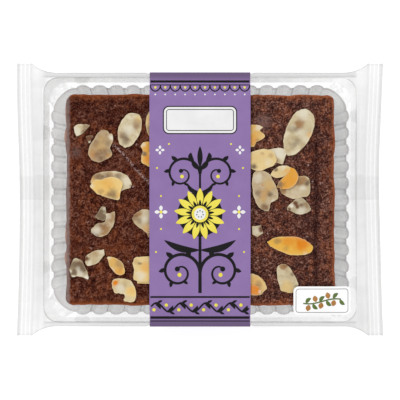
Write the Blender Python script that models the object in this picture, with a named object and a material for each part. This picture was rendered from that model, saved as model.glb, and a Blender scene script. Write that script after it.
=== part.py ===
"""A flow-wrapped pack of filled speculaas, lying flat with its printed side up.

The pack is a tube of clear film, sealed flat at both ends, round a fluted tray that holds one baked slab.
It is closed all round, so it is one solid with the outer form of the film. A printed paper band goes
round its middle, and a small label lies on the film near one corner.

Metres, +Z up, +X along the pack and +Y towards its upper long side. The origin is under the middle.
"""

import bmesh
import bpy
import numpy as np

# The film's outline, seen from above
PACK_LENGTH = 0.2044
SEAL_WIDTH = 0.1518
BODY_WIDTH = 0.1396
SEAL_DEPTH = 0.0085
SEAL_BOW = 0.0016
FLARE_START = 0.077
FLARE_POWER = 2.5

# What the film is stretched over: the slab, and the tray's rim and floor
SLAB_LENGTH = 0.147
SLAB_WIDTH = 0.1158
RIM_LENGTH = 0.1722
RIM_WIDTH = 0.1342
FLOOR_LENGTH = 0.154
FLOOR_WIDTH = 0.117

# Heights above the table
UNDERSIDE = 0.0005
SEAL_LEVEL = 0.0100
EDGE_LEVEL = 0.0186
RIM_LEVEL = 0.0195
TOP_LEVEL = 0.0228

# The film's flat seals and its folds
SEAL_THICKNESS = 0.0008
SEAL_RIBS = 3
RIB_HEIGHT = 0.0003
CREASE_BLEND = 0.0012
EDGE_BLEND = 0.0006
FIN_WIDTH = 0.0137
FIN_THICKNESS = 0.0004
FIN_STEP = 0.0003

# The printed band, which draws the film in a little under it
BAND_WIDTH = 0.0553
BAND_THICKNESS = 0.0004
BAND_GAP = 0.0003
WAIST_DEPTH = 0.0006
WAIST_STEP = 0.0015

# The label, and where its middle lies
LABEL_LENGTH = 0.0314
LABEL_WIDTH = 0.0157
LABEL_CORNER = 0.0028
LABEL_THICKNESS = 0.0003
LABEL_GAP = 0.0004
LABEL_AT = (0.0668, -0.0554)

HALF_LENGTH = PACK_LENGTH / 2
SEAL_START = HALF_LENGTH - SEAL_DEPTH
BAND_REACH = BAND_WIDTH / 2


def clear_scene():
    """Removes whatever objects the scene holds."""
    for thing in list(bpy.data.objects):
        bpy.data.objects.remove(thing, do_unlink=True)


def finish_named(name, colour, roughness, alpha=1.0):
    """A Principled finish of one colour."""
    material = bpy.data.materials.new(name)
    material.use_nodes = True
    shader = material.node_tree.nodes["Principled BSDF"]
    shader.inputs["Base Color"].default_value = (*colour, 1)
    shader.inputs["Roughness"].default_value = roughness
    shader.inputs["Metallic"].default_value = 0
    shader.inputs["Alpha"].default_value = alpha
    return material


def object_named(name, mesh, material):
    """Puts a mesh into the scene as one named object, smooth apart from its sharp edges."""
    mesh.materials.append(material)
    mesh.shade_smooth()
    mesh.set_sharp_from_angle(angle=np.radians(35))
    thing = bpy.data.objects.new(name, mesh)
    bpy.context.scene.collection.objects.link(thing)
    return thing


def eased(t):
    """0 before 0 and 1 after 1, with a smooth step between."""
    t = np.clip(t, 0, 1)
    return t * t * (3 - 2 * t)


def lower_of(a, b, blend=CREASE_BLEND):
    """The lower of two heights, with the crease between them rounded."""
    share = np.clip(0.5 + 0.5 * (b - a) / blend, 0, 1)
    return b + (a - b) * share - blend * share * (1 - share)


def higher_of(a, b, blend=CREASE_BLEND):
    """The higher of two heights, with the crease between them rounded."""
    return -lower_of(-a, -b, blend)


def slope(distance, start, start_height, end, end_height):
    """The height at a distance from the middle on the straight line through two points."""
    return start_height + (distance - start) * (end_height - start_height) / (end - start)


def waist(x):
    """1 under the band and 0 away from it."""
    return 1 - eased((np.abs(x) - BAND_REACH - BAND_GAP) / WAIST_STEP)


def half_width(x):
    """Half the film's width: the body's, flaring out to the flat seals' at both ends."""
    flare = np.clip((np.abs(x) - FLARE_START) / (SEAL_START - FLARE_START), 0, 1) ** FLARE_POWER
    return BODY_WIDTH / 2 + flare * (SEAL_WIDTH - BODY_WIDTH) / 2 - WAIST_DEPTH * waist(x)


def seal_share(x):
    """0 on the body and 1 on the flat seals."""
    return eased((np.abs(x) - FLARE_START) / (SEAL_START - FLARE_START))


def edge_level(x):
    """The height of the film's long edges, which drop from the tray's rim to the seals."""
    return EDGE_LEVEL + (SEAL_LEVEL - EDGE_LEVEL) * seal_share(x)


def rib_wave(x):
    """The crimped ribs, which run across the pack within each seal."""
    depth = np.clip((np.abs(x) - SEAL_START) / SEAL_DEPTH, 0, 1)
    return RIB_HEIGHT * np.sin(2 * np.pi * SEAL_RIBS * depth)


def top_height(x, y):
    """The film's upper face: flat over the slab, sloping to the tray's rim, then down to the seals."""
    along, across = np.abs(x), np.abs(y)
    seal_top = SEAL_LEVEL + SEAL_THICKNESS / 2
    height = np.full(np.broadcast(x, y).shape, TOP_LEVEL)
    height = lower_of(height, slope(across, SLAB_WIDTH / 2, TOP_LEVEL, RIM_WIDTH / 2, RIM_LEVEL))
    height = lower_of(height, slope(along, SLAB_LENGTH / 2, TOP_LEVEL, RIM_LENGTH / 2, RIM_LEVEL))
    height = lower_of(height, slope(along, RIM_LENGTH / 2, RIM_LEVEL, SEAL_START, seal_top))
    return higher_of(height - WAIST_DEPTH * waist(x), edge_level(x) + SEAL_THICKNESS / 2, EDGE_BLEND)


def under_height(x, y, with_fin=True):
    """The film's lower face: flat under the tray, rising to its rim and to the seals, with the back fin."""
    along, across = np.abs(x), np.abs(y)
    height = np.full(np.broadcast(x, y).shape, UNDERSIDE)
    height = higher_of(height, slope(across, FLOOR_WIDTH / 2, UNDERSIDE, BODY_WIDTH / 2, EDGE_LEVEL))
    height = higher_of(
        height, slope(along, FLOOR_LENGTH / 2, UNDERSIDE, SEAL_START, SEAL_LEVEL - SEAL_THICKNESS / 2)
    )
    height = lower_of(height + WAIST_DEPTH * waist(x), edge_level(x) - SEAL_THICKNESS / 2, EDGE_BLEND)
    on_fin = (y > -FIN_STEP / 2) & (y < FIN_WIDTH)
    return height - FIN_THICKNESS * (on_fin & with_fin)


def steps(*stops):
    """Positions along a line: each pair of stops is (where, how many equal steps lead up to it)."""
    places = [stops[0][0]]
    for (start, _), (end, count) in zip(stops, stops[1:]):
        places += list(np.linspace(start, end, count + 1)[1:])
    return np.array(places)


def mirrored(places):
    """The places on one side of the middle, with the same ones on the other side."""
    return np.concatenate([-places[:0:-1], places])


def stations():
    """Where the film's rows lie along the pack, closest at the seals' ribs."""
    half = steps(
        (0, 0), (BAND_REACH + BAND_GAP, 2), (BAND_REACH + BAND_GAP + WAIST_STEP, 3),
        (SLAB_LENGTH / 2 - 0.004, 3), (SLAB_LENGTH / 2 + 0.003, 3), (FLARE_START + 0.004, 2),
        (RIM_LENGTH / 2 + 0.0015, 4), (SEAL_START, 4), (HALF_LENGTH, 4 * SEAL_RIBS),
    )
    return mirrored(half)


def columns():
    """Where the film's columns lie across the pack, closest at its long edges and at the fin's sides."""
    half = steps(
        (0.030, 0), (0.050, 1), (SLAB_WIDTH / 2 - 0.003, 1), (SLAB_WIDTH / 2 + 0.003, 3),
        (RIM_WIDTH / 2, 3), (BODY_WIDTH / 2, 2),
    )
    fin = np.array([-FIN_STEP, 0, FIN_WIDTH - FIN_STEP, FIN_WIDTH])
    return np.concatenate([-half[::-1], fin, half])


def plan_grid():
    """The film's rows and columns as x and y arrays. The outer columns follow the flare of the edges."""
    x, y = np.meshgrid(stations(), columns(), indexing="ij")
    outwards = np.clip((np.abs(y) - 0.030) / (BODY_WIDTH / 2 - 0.030), 0, 1)
    y = y + np.sign(y) * outwards * (half_width(x) - BODY_WIDTH / 2)
    bow = SEAL_BOW * seal_share(x) * (1 - (y / (SEAL_WIDTH / 2)) ** 2)
    return x, y, x - np.sign(x) * bow


def closed_sheet(name, lower, upper):
    """A mesh between two grids of points with the same rows and columns, closed along all four sides."""
    rows, cols = lower.shape[:2]
    index = np.arange(rows * cols).reshape(rows, cols)
    quads = np.stack([index[:-1, :-1], index[1:, :-1], index[1:, 1:], index[:-1, 1:]], axis=-1).reshape(-1, 4)
    rim = np.concatenate([index[:-1, 0], index[-1, :-1], index[:0:-1, -1], index[0, :0:-1]])
    after = np.roll(rim, -1)
    count = rows * cols
    sides = np.stack([rim, after, after + count, rim + count], axis=-1)
    faces = np.concatenate([quads[:, ::-1], quads + count, sides])
    mesh = bpy.data.meshes.new(name)
    mesh.from_pydata(np.concatenate([lower.reshape(-1, 3), upper.reshape(-1, 3)]).tolist(), [], faces.tolist())
    mesh.validate()
    return mesh


def film_pack():
    """The closed pack, out to the film: two height fields over one plan, joined along their edge."""
    x, y, shown_x = plan_grid()
    wave = rib_wave(x)
    upper = np.stack([shown_x, y, top_height(x, y) + wave], axis=-1)
    lower = np.stack([shown_x, y, under_height(x, y) + wave], axis=-1)
    film = finish_named("clear_film", (0.90, 0.90, 0.91), 0.15, 0.35)
    return object_named("film_pack", closed_sheet("film_pack", lower, upper), film)


def band_section():
    """The film's outline in the band's waist, as (y, z) points in order round it, the fin bridged flat."""
    y = columns()
    y = np.delete(y, np.where(np.abs(y) < 0.029)[0])
    y = np.sign(y) * np.minimum(np.abs(y), half_width(0))
    upper = np.stack([y, top_height(0 * y, y)], axis=-1)
    lower = np.stack([y, under_height(0 * y, y, with_fin=False)], axis=-1)
    lower[:, 1] = np.where(np.abs(y) < FLOOR_WIDTH / 2 - 0.003, lower[:, 1] - FIN_THICKNESS, lower[:, 1])
    return np.concatenate([lower, upper[::-1]])


def grown(points, distance):
    """A closed outline moved outwards by a distance, with its corners mitred."""
    ahead = np.roll(points, -1, axis=0) - points
    ahead /= np.linalg.norm(ahead, axis=1, keepdims=True)
    facing = np.stack([ahead[:, 1], -ahead[:, 0]], axis=-1)
    before = np.roll(facing, 1, axis=0)
    shared = 1 + (facing * before).sum(axis=1, keepdims=True)
    return points + distance * (facing + before) / shared


def printed_band():
    """The band: a ring of paper round the pack's waist, one section carried along the pack."""
    section = band_section()
    build = bmesh.new()
    loops = []
    for outline in (grown(section, BAND_GAP), grown(section, BAND_GAP + BAND_THICKNESS)):
        ring = [build.verts.new((-BAND_REACH, y, z)) for y, z in outline]
        loops += [build.edges.new((a, b)) for a, b in zip(ring, ring[1:] + ring[:1])]
    end = bmesh.ops.bridge_loops(build, edges=loops)["faces"]
    carried = bmesh.ops.extrude_face_region(build, geom=end)["geom"]
    moved = [v for v in carried if isinstance(v, bmesh.types.BMVert)]
    bmesh.ops.translate(build, verts=moved, vec=(BAND_WIDTH, 0, 0))
    bmesh.ops.recalc_face_normals(build, faces=build.faces)
    mesh = bpy.data.meshes.new("printed_band")
    build.to_mesh(mesh)
    build.free()
    return object_named("printed_band", mesh, finish_named("band_print", (0.29, 0.17, 0.42), 0.45))


def corner_label():
    """The label: a thin plate with round corners that follows the film under it."""
    reach = LABEL_WIDTH / 2
    turn = np.linspace(0, np.pi / 2, 5)
    rounded = reach - LABEL_CORNER * (1 - np.sin(turn))
    rows = mirrored(np.concatenate([[0, 0.4 * reach], rounded]))
    into_corner = np.clip(np.abs(rows) - (reach - LABEL_CORNER), 0, LABEL_CORNER)
    half = LABEL_LENGTH / 2 - LABEL_CORNER + np.sqrt(LABEL_CORNER**2 - into_corner**2)
    x = LABEL_AT[0] + np.linspace(-1, 1, 15) * half[:, None]
    y = LABEL_AT[1] + rows[:, None] + 0 * x
    under = top_height(x, y) + LABEL_GAP
    lower = np.stack([x, y, under], axis=-1).transpose(1, 0, 2)
    upper = lower + (0, 0, LABEL_THICKNESS)
    paper = finish_named("label_paper", (0.90, 0.90, 0.90), 0.40)
    return object_named("corner_label", closed_sheet("corner_label", lower, upper), paper)


def main():
    clear_scene()
    film_pack()
    printed_band()
    corner_label()


main()
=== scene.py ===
# %% [markdown]
# # A pack of filled speculaas
#
# The real thing is a dark baked slab with almond flakes on it. It sits in a clear fluted tray, the tray
# is sealed in a tube of clear film, and a printed paper band goes round the middle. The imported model
# holds the film's outer form, the band and a small label. This lesson loads it as a fixed frame, then
# makes what the eye sees: the film with its crimped ends, the tray, the slab, every flake and the print.

import bpy
import numpy as np
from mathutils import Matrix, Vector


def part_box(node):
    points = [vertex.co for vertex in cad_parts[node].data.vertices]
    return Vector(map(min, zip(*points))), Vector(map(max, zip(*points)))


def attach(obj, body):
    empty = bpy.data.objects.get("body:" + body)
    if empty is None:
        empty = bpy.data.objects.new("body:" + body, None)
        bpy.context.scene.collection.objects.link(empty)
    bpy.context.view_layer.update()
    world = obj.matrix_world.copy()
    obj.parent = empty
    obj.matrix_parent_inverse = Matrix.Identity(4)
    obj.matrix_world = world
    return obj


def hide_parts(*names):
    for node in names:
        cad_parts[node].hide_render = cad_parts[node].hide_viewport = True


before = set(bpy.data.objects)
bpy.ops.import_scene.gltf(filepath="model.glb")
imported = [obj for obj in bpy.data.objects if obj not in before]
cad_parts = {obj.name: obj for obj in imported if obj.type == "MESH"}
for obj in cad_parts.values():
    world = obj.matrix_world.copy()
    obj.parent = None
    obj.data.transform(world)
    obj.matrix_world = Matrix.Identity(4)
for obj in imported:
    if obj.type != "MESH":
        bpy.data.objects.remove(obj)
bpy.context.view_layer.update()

# %% [markdown]
# ## Sizes
#
# The outer sizes come from the frame, so the looks can't drift away from the solids. The others are the
# sizes in the film's own formulas, and those of what lies inside it: the tray, the slab, their levels.

# %% Sizes, in metres
HALF_LENGTH, SEAL_HALF, TOP_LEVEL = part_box("film_pack")[1]
BAND_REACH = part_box("printed_band")[1][0]
label_low, label_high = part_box("corner_label")

SEAL_DEPTH = 0.0085
SEAL_START = HALF_LENGTH - SEAL_DEPTH
SEAL_LEVEL = 0.0100
SEAL_BOW = 0.0016
SEAL_THICKNESS = 0.0008
RIB_HEIGHT = 0.0003
BODY_HALF = 0.0698
EDGE_LEVEL = 0.0186
FLARE_START = 0.077
FLARE_POWER = 2.5
UNDERSIDE = 0.0005
RIM_LEVEL = 0.0195
FIN_WIDTH = 0.0137
FIN_THICKNESS = 0.0004
FIN_STEP = 0.0003
WAIST_DEPTH = 0.0006
WAIST_STEP = 0.0015
BAND_GAP = 0.0003
BAND_THICKNESS = 0.0004
CREASE_BLEND = 0.0012
EDGE_BLEND = 0.0006

SLAB_HALF = (0.0734, 0.0578)
RIM_HALF = (0.0862, 0.0672)
CAVITY_HALF = (0.0804, 0.0614)
FLOOR_HALF = (0.0762, 0.0572)
FILM_FLOOR_HALF = (0.0770, 0.0585)
TRAY_RIM = 0.0184
TRAY_FLOOR = 0.0016
SLAB_FLOOR = 0.0019
SLAB_TOP = 0.0204
print("pack", 2 * HALF_LENGTH, "by", 2 * SEAL_HALF, "film top at", TOP_LEVEL)

# %% [markdown]
# ## Where a pixel of the photograph lies
#
# The picture was taken from straight above, at about 0.65 m: the flutes at the tray's two ends lean
# towards the middle of the picture by as much as that height gives. A thing that lies higher looks
# larger, so a pixel stands for a place only together with a level.

# %% From the photograph's pixels to metres
CAMERA_HEIGHT = 0.65
METRES_A_PIXEL = 0.00055
FOCAL_PIXELS = (CAMERA_HEIGHT - RIM_LEVEL) / METRES_A_PIXEL
PICTURE = 400
MIDDLE = (200.0, 199.5)


def at_pixel(px, py, level=TOP_LEVEL):
    """Where the photograph's pixel lies on the plane at that level: similar triangles from the camera."""
    scale = (CAMERA_HEIGHT - level) / FOCAL_PIXELS
    return (px - MIDDLE[0]) * scale, (MIDDLE[1] - py) * scale


def to_pixel(x, y, level=TOP_LEVEL):
    """The photograph's pixel of a place on the plane at that level: the same triangles the other way."""
    scale = (CAMERA_HEIGHT - level) / FOCAL_PIXELS
    return MIDDLE[0] + x / scale, MIDDLE[1] - y / scale


print("focal length", round(FOCAL_PIXELS), "pixels")

# %% [markdown]
# ## Helpers for surfaces
#
# A surface here is a grid of points worked out as whole arrays. `eased` gives a smooth step, `lattice`
# gives smooth random numbers that are the same each run, `placed` and `quad_faces` give a grid's points
# and faces, and `mesh_piece` puts them into a mesh.


# %% Helpers for surfaces
def eased(t):
    """0 before 0 and 1 after 1, with 3t^2 - 2t^3 between."""
    t = np.clip(t, 0, 1)
    return t * t * (3 - 2 * t)


def blob(distance, radius):
    """1 at distance 0, falling smoothly to 0 at the radius."""
    return 1 - eased(distance / radius)


def spots_share(px, py, spots):
    """The strongest of some round spots, each (pixel x, pixel y, radius) and perhaps its strength."""
    shares = [(*spot, 1.0)[3] * blob(np.hypot(px - spot[0], py - spot[1]), spot[2]) for spot in spots]
    return np.max(shares, axis=0)


def lattice(x, y, size, seed):
    """Smooth random numbers from -1 to 1: one per corner of a square lattice, with eased steps between."""
    side = 256
    corners = np.random.default_rng(seed).uniform(-1, 1, (side, side))
    u, v = np.asarray(x) / size, np.asarray(y) / size
    column, row = np.floor(u).astype(int), np.floor(v).astype(int)
    across, along = eased(u - column), eased(v - row)
    here, right = corners[column % side, row % side], corners[(column + 1) % side, row % side]
    above = corners[column % side, (row + 1) % side]
    beyond = corners[(column + 1) % side, (row + 1) % side]
    low = here + (right - here) * across
    high = above + (beyond - above) * across
    return low + (high - low) * along


def placed(x, y, z):
    """Points from three arrays, each a row, a column or a whole grid."""
    return np.stack(np.broadcast_arrays(x, y, z), axis=-1)


def grid_numbers(rows, columns, first=0):
    """The numbers of a grid's points, which are stored row by row."""
    return first + np.arange(rows * columns).reshape(rows, columns)


def edge_ring(numbers):
    """The point numbers round the edge of a grid, in order."""
    return np.concatenate([numbers[:-1, 0], numbers[-1, :-1], numbers[:0:-1, -1], numbers[0, :0:-1]])


def quad_faces(numbers, around=False):
    """The quads of a grid of point numbers. Around joins the last column to the first."""
    if around:
        numbers = np.concatenate([numbers, numbers[:, :1]], axis=1)
    corners = [numbers[:-1, :-1], numbers[1:, :-1], numbers[1:, 1:], numbers[:-1, 1:]]
    return np.stack(corners, axis=-1).reshape(-1, 4)


def closed_sheet(lower, upper):
    """(points, faces) of the body between two grids of points, closed along all four sides."""
    numbers = grid_numbers(*lower.shape[:2])
    faces = quad_faces(numbers)
    ring = edge_ring(numbers)
    after = np.roll(ring, -1)
    count = numbers.size
    sides = np.stack([ring, after, after + count, ring + count], axis=-1)
    points = np.concatenate([lower.reshape(-1, 3), upper.reshape(-1, 3)])
    return points, np.concatenate([faces[:, ::-1], faces + count, sides])


def mesh_piece(name, points, faces, smooth=True, **attributes):
    """A named object at the origin. Each attribute is one number for each point."""
    mesh = bpy.data.meshes.new(name)
    mesh.from_pydata(np.asarray(points).reshape(-1, 3).tolist(), [], [list(face) for face in faces])
    for key, values in attributes.items():
        layer = mesh.attributes.new(key, "FLOAT", "POINT")
        layer.data.foreach_set("value", np.asarray(values, dtype=np.float32).reshape(-1))
    mesh.validate()
    if smooth:
        mesh.shade_smooth()
    piece = bpy.data.objects.new(name, mesh)
    bpy.context.scene.collection.objects.link(piece)
    print(name, len(mesh.vertices), "points", len(mesh.polygons), "faces")
    return piece


# %% [markdown]
# ## Shader maths as formulas
#
# A material is a small sum: some noise, a mask, a mix of two colours. Written node by node it can't be
# read, so one class wraps a node's output and lets Python's own signs add the Math nodes.


# %% A wire and a finish
class Wire:
    """One output of a node. Sums, products and powers of wires add Math nodes."""

    def __init__(self, finish, socket):
        self.finish = finish
        self.socket = socket

    def maths(self, operation, *values, **settings):
        places = dict(enumerate(values))
        return self.finish.node("ShaderNodeMath", {"operation": operation, **settings}, places)

    def __add__(self, other):
        return self.maths("ADD", self, other)

    def __sub__(self, other):
        return self.maths("SUBTRACT", self, other)

    def __rsub__(self, other):
        return self.maths("SUBTRACT", other, self)

    def __mul__(self, other):
        return self.maths("MULTIPLY", self, other)

    def __pow__(self, other):
        return self.maths("POWER", self, other)

    def clipped(self):
        """The same value, held between 0 and 1."""
        return self.maths("ADD", self, 0.0, use_clamp=True)

    def away_from(self, middle):
        """How far the value is from a middle value."""
        return self.maths("ABSOLUTE", self - middle)

    def between(self, low, high):
        """0 where this is low and 1 where it is high, with a smooth step between."""
        settings = {"interpolation_type": "SMOOTHSTEP"}
        return self.finish.node("ShaderNodeMapRange", settings, {0: self, 1: low, 2: high})


class Finish:
    """A material with one Principled shader. Constants go straight to its sockets."""

    def __init__(self, name, **constants):
        self.material = bpy.data.materials.new(name)
        self.material.use_nodes = True
        self.tree = self.material.node_tree
        self.shader = self.tree.nodes["Principled BSDF"]
        for key, value in constants.items():
            self.shader.inputs[key.replace("_", " ")].default_value = value

    def feed(self, socket, value):
        """Sets a socket, or links a wire to it."""
        if isinstance(value, Wire):
            self.tree.links.new(value.socket, socket)
        else:
            socket.default_value = value

    def node(self, kind, settings, inputs, output=0):
        """Adds a node: its settings, such as an operation or a ramp's stops from 0 to 1, then its sockets."""
        made = self.tree.nodes.new(kind)
        for key, value in settings.items():
            if key == "stops":
                ramp = made.color_ramp
                for place, colour in value[1:-1]:
                    ramp.elements.new(place).color = colour
                ramp.elements[0].color = value[0][1]
                ramp.elements[-1].color = value[-1][1]
            else:
                setattr(made, key, value)
        for key, value in inputs.items():
            self.feed(made.inputs[key], value)
        return Wire(self, made.outputs[output])

    def place(self):
        """Object coordinates, which are metres in the frame here."""
        return self.node("ShaderNodeTexCoord", {}, {}, "Object")

    def noise(self, scale, detail=2.0, roughness=0.5, place=None):
        """Noise from 0 to 1, with about that many features a metre."""
        inputs = {"Vector": place or self.place(), "Scale": scale, "Detail": detail, "Roughness": roughness}
        return self.node("ShaderNodeTexNoise", {"normalize": True}, inputs)

    def attribute(self, name):
        """A number that the mesh holds at each point."""
        return self.node("ShaderNodeAttribute", {"attribute_name": name}, {}, "Fac")

    def mix(self, factor, first, second):
        """A colour between two colours."""
        return self.node("ShaderNodeMix", {"data_type": "RGBA"}, {0: factor, 6: first, 7: second}, 2)

    def bump(self, height, strength, distance):
        """A normal that tilts with a height."""
        inputs = {"Height": height, "Strength": strength, "Distance": distance}
        return self.node("ShaderNodeBump", {}, inputs)

    def end(self, **links):
        """Feeds the shader's own sockets and gives the material."""
        for key, value in links.items():
            self.feed(self.shader.inputs[key.replace("_", " ")], value)
        return self.material


STUDIO_LIGHT = 1.18


def screen_colour(red, green, blue):
    """The linear colour that looks like this screen colour, 0 to 255, under the studio's bright light."""
    share = np.array([red, green, blue]) / 255
    linear = np.where(share <= 0.04045, share / 12.92, ((share + 0.055) / 1.055) ** 2.4)
    return (*(linear / STUDIO_LIGHT).tolist(), 1.0)


# %% [markdown]
# ## Camera, floor and light
#
# A pack shot has a white ground that is a little over-exposed and light from all round, with one side
# slightly stronger so that crumbs and flakes still throw small shadows. The camera looks straight
# down with the long lens that the focal length in pixels gives.

# %% Camera, floor and light
SENSOR_WIDTH = 36.0
FLOOR_SIZE = 6.0
FLOOR_LEVEL = -0.00005
FLOOR_GLOW = 0.67
FLOOR_GREYS = (0.50, 0.48)
NEAREST_SEEN = 0.01
LAMPS = {
    "key light": {"place": (-0.9, 0.9, 1.3), "size": 0.7, "power": 11},
    "fill light": {"place": (1.2, -0.5, 1.4), "size": 1.0, "power": 4},
}
WORLD_STRENGTH = 0.80


def look_down():
    """The camera over the origin, its top side towards +Y. The picture's middle row is half a pixel off."""
    camera = bpy.data.cameras.new("camera")
    camera.sensor_width = SENSOR_WIDTH
    camera.lens = SENSOR_WIDTH * FOCAL_PIXELS / PICTURE
    camera.clip_start = NEAREST_SEEN
    camera.shift_y = -0.5 / PICTURE
    thing = bpy.data.objects.new("camera", camera)
    thing.location = (0, 0, CAMERA_HEIGHT)
    bpy.context.scene.collection.objects.link(thing)
    bpy.context.scene.camera = thing
    print("lens", round(camera.lens, 1), "mm")


def pale_floor():
    """A flat light table, well past the picture's edge. It glows white, and the lamps light it too."""
    reach = FLOOR_SIZE / 2
    ways = ((-1, -1), (1, -1), (1, 1), (-1, 1))
    corners = [(side * reach, end * reach, FLOOR_LEVEL) for side, end in ways]
    floor = mesh_piece("floor", corners, [(0, 1, 2, 3)], smooth=False)
    glow = {"Emission_Color": (1, 1, 1, 1), "Emission_Strength": FLOOR_GLOW}
    finish = Finish("white floor", Roughness=0.9, Specular_IOR_Level=0.1, **glow)
    cloud = finish.noise(3.0)
    white, off_white = ((grey, grey, grey, 1) for grey in FLOOR_GREYS)
    floor.data.materials.append(finish.end(Base_Color=finish.mix(cloud, white, off_white)))


def soft_light(name, place, size, power):
    """A square lamp that faces the origin."""
    lamp = bpy.data.lights.new(name, "AREA")
    lamp.size = size
    lamp.energy = power
    thing = bpy.data.objects.new(name, lamp)
    thing.location = place
    towards = -np.array(place) / np.linalg.norm(place)
    turn = np.arccos(-towards[2])
    around = np.arctan2(towards[1], towards[0]) - np.pi / 2
    thing.rotation_euler = (turn, 0, around)
    bpy.context.scene.collection.objects.link(thing)


look_down()
pale_floor()
for name, lamp in LAMPS.items():
    soft_light(name, **lamp)
world = bpy.data.worlds.new("studio")
world.use_nodes = True
world.node_tree.nodes["Background"].inputs["Color"].default_value = (1, 1, 1, 1)
world.node_tree.nodes["Background"].inputs["Strength"].default_value = WORLD_STRENGTH
bpy.context.scene.world = world
bpy.context.scene.view_settings.view_transform = "Standard"

# %% [markdown]
# ## The film's form
#
# Film has no shape of its own: it is stretched over what is inside. So its upper side is the lowest
# of a few planes, over the slab, down to the tray's rim and down to the seals, with rounded creases.
# Its lower side is the same thing upside down. These are the formulas that the solid was made from.


# %% The film's two height fields
def lower_of(a, b, blend=CREASE_BLEND):
    """The lower of two heights, with the crease between them rounded."""
    share = np.clip(0.5 + 0.5 * (b - a) / blend, 0, 1)
    return b + (a - b) * share - blend * share * (1 - share)


def higher_of(a, b, blend=CREASE_BLEND):
    """The higher of two heights, with the crease between them rounded."""
    return -lower_of(-a, -b, blend)


def slope(distance, start, start_height, end, end_height):
    """The height at a distance from the middle on the straight line through two points."""
    return start_height + (distance - start) * (end_height - start_height) / (end - start)


def waist(x):
    """1 under the band and 0 away from it."""
    return 1 - eased((np.abs(x) - BAND_REACH - BAND_GAP) / WAIST_STEP)


def flare(x):
    """0 on the body, rising to 1 at the seals."""
    return np.clip((np.abs(x) - FLARE_START) / (SEAL_START - FLARE_START), 0, 1)


def half_width(x):
    """Half the film's width."""
    return BODY_HALF + flare(x) ** FLARE_POWER * (SEAL_HALF - BODY_HALF) - WAIST_DEPTH * waist(x)


def edge_level(x):
    """The height of the film's long edges, which drop from the tray's rim to the seals."""
    return EDGE_LEVEL + (SEAL_LEVEL - EDGE_LEVEL) * eased(flare(x))


def top_height(x, y):
    """The film's upper side without its wrinkles."""
    along, across = np.abs(x), np.abs(y)
    seal_top = SEAL_LEVEL + SEAL_THICKNESS / 2
    height = np.full(np.broadcast(x, y).shape, TOP_LEVEL)
    height = lower_of(height, slope(across, SLAB_HALF[1], TOP_LEVEL, RIM_HALF[1], RIM_LEVEL))
    height = lower_of(height, slope(along, SLAB_HALF[0], TOP_LEVEL, RIM_HALF[0], RIM_LEVEL))
    height = lower_of(height, slope(along, RIM_HALF[0], RIM_LEVEL, SEAL_START, seal_top))
    return higher_of(height - WAIST_DEPTH * waist(x), edge_level(x) + SEAL_THICKNESS / 2, EDGE_BLEND)


def under_height(x, y):
    """The film's lower side without its wrinkles and its fin."""
    along, across = np.abs(x), np.abs(y)
    seal_bottom = SEAL_LEVEL - SEAL_THICKNESS / 2
    height = np.full(np.broadcast(x, y).shape, UNDERSIDE)
    height = higher_of(height, slope(across, FILM_FLOOR_HALF[1], UNDERSIDE, BODY_HALF, EDGE_LEVEL))
    height = higher_of(height, slope(along, FILM_FLOOR_HALF[0], UNDERSIDE, SEAL_START, seal_bottom))
    return lower_of(height + WAIST_DEPTH * waist(x), edge_level(x) - SEAL_THICKNESS / 2, EDGE_BLEND)


print("film over the slab at", round(float(top_height(0.04, 0.0)), 5))

# %% [markdown]
# ## The baked slab
#
# Speculaas dough bakes to a dark, dry crumb: a crust of tiny ridges and pits, redder where it has
# cracked and round its edges. The slab is one closed shell. Its upper side is a fine grid over a
# rectangle with round corners, its sides are rings that go down from the grid's edge, and its lower
# side is more rings that shrink to a flat cap. Relief that the eye can see is moved points, and only
# the finest grain is left to the shader.

# %% The slab's shell
SLAB_CORNERS = {"left": 0.0038, "right": 0.0026}
SLAB_SHOULDER = 0.0016
SLAB_OFF_MIDDLE = -0.0003
SLAB_SLANT = 0.0034
SLAB_ROWS = 296
SLAB_COLUMNS = 232
SIDE_RINGS = 16
GROOVE_AT = at_pixel(315.5, 0, SLAB_TOP)[0]
GROOVE_ENDS = (at_pixel(0, 300, SLAB_TOP)[1], at_pixel(0, 128, SLAB_TOP)[1])
CREASE_ENDS = (at_pixel(114, 144, SLAB_TOP), at_pixel(150, 184, SLAB_TOP))
PITS = ((80.5, 191, 2.0), (92.7, 269.6, 2.6), (121, 141.5, 1.6), (318, 212, 1.6), (252, 148, 1.6))
# Painted highlights: these grains and the crease carry pale glints.
GLINTING_GRAINS = (
    (136.8, 144.2, 1.8), (113.5, 146, 1.7), (133, 187, 2.0), (128.7, 261, 1.7), (264.1, 259, 1.6),
    (306.7, 236.3, 1.8), (267.5, 232.7, 1.5), (312.5, 181, 1.7), (321, 183, 2.2), (308, 164, 1.6),
    (88, 222, 1.8), (90.5, 248.5, 1.8),
)
# Dust and a painted sheen: the first patch is the film's reflection painted onto the crust; the others are
# greyer patches.
DUST_AND_SHEEN_PATCHES = ((263, 121, 15, 0.42), (150, 118, 10, 0.3), (76, 152, 9, 0.35))
RUST_PATCHES = (
    (78, 162, 9, 0.5), (82, 133, 7, 0.4), (82, 222, 9, 0.4), (103, 246, 9, 0.5), (125, 245, 10, 0.4),
    (100, 267, 9, 0.7), (72, 287, 8, 0.4), (311, 138, 7, 0.6), (322, 124, 9, 0.4), (324, 245, 9, 0.5),
)
DUSTY_STRIP = 0.0024
WANDER, RAGGED = 0.00035, 0.00022
FRINGES = ((112, 14), (135, 9), (234, 12), (258, 8))
FRINGE_WIDTH = 0.0008
GROOVE_HALF, GROOVE_DEPTH = 0.0024, 0.0009
CREASE_HALF, CREASE_DEPTH = 0.0011, 0.0004
PIT_DEPTH = 0.0009
RUST_REACH = 0.0045
RIM_REACH = 0.0016
RAGGED_POWER = 12
CRUMB_HEIGHTS = {
    "swell": 0.00030, "roll": 0.00022, "knob": 0.00017, "grain": 0.00016, "ridge": 0.00022, "pit": 0.0006,
}
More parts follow.
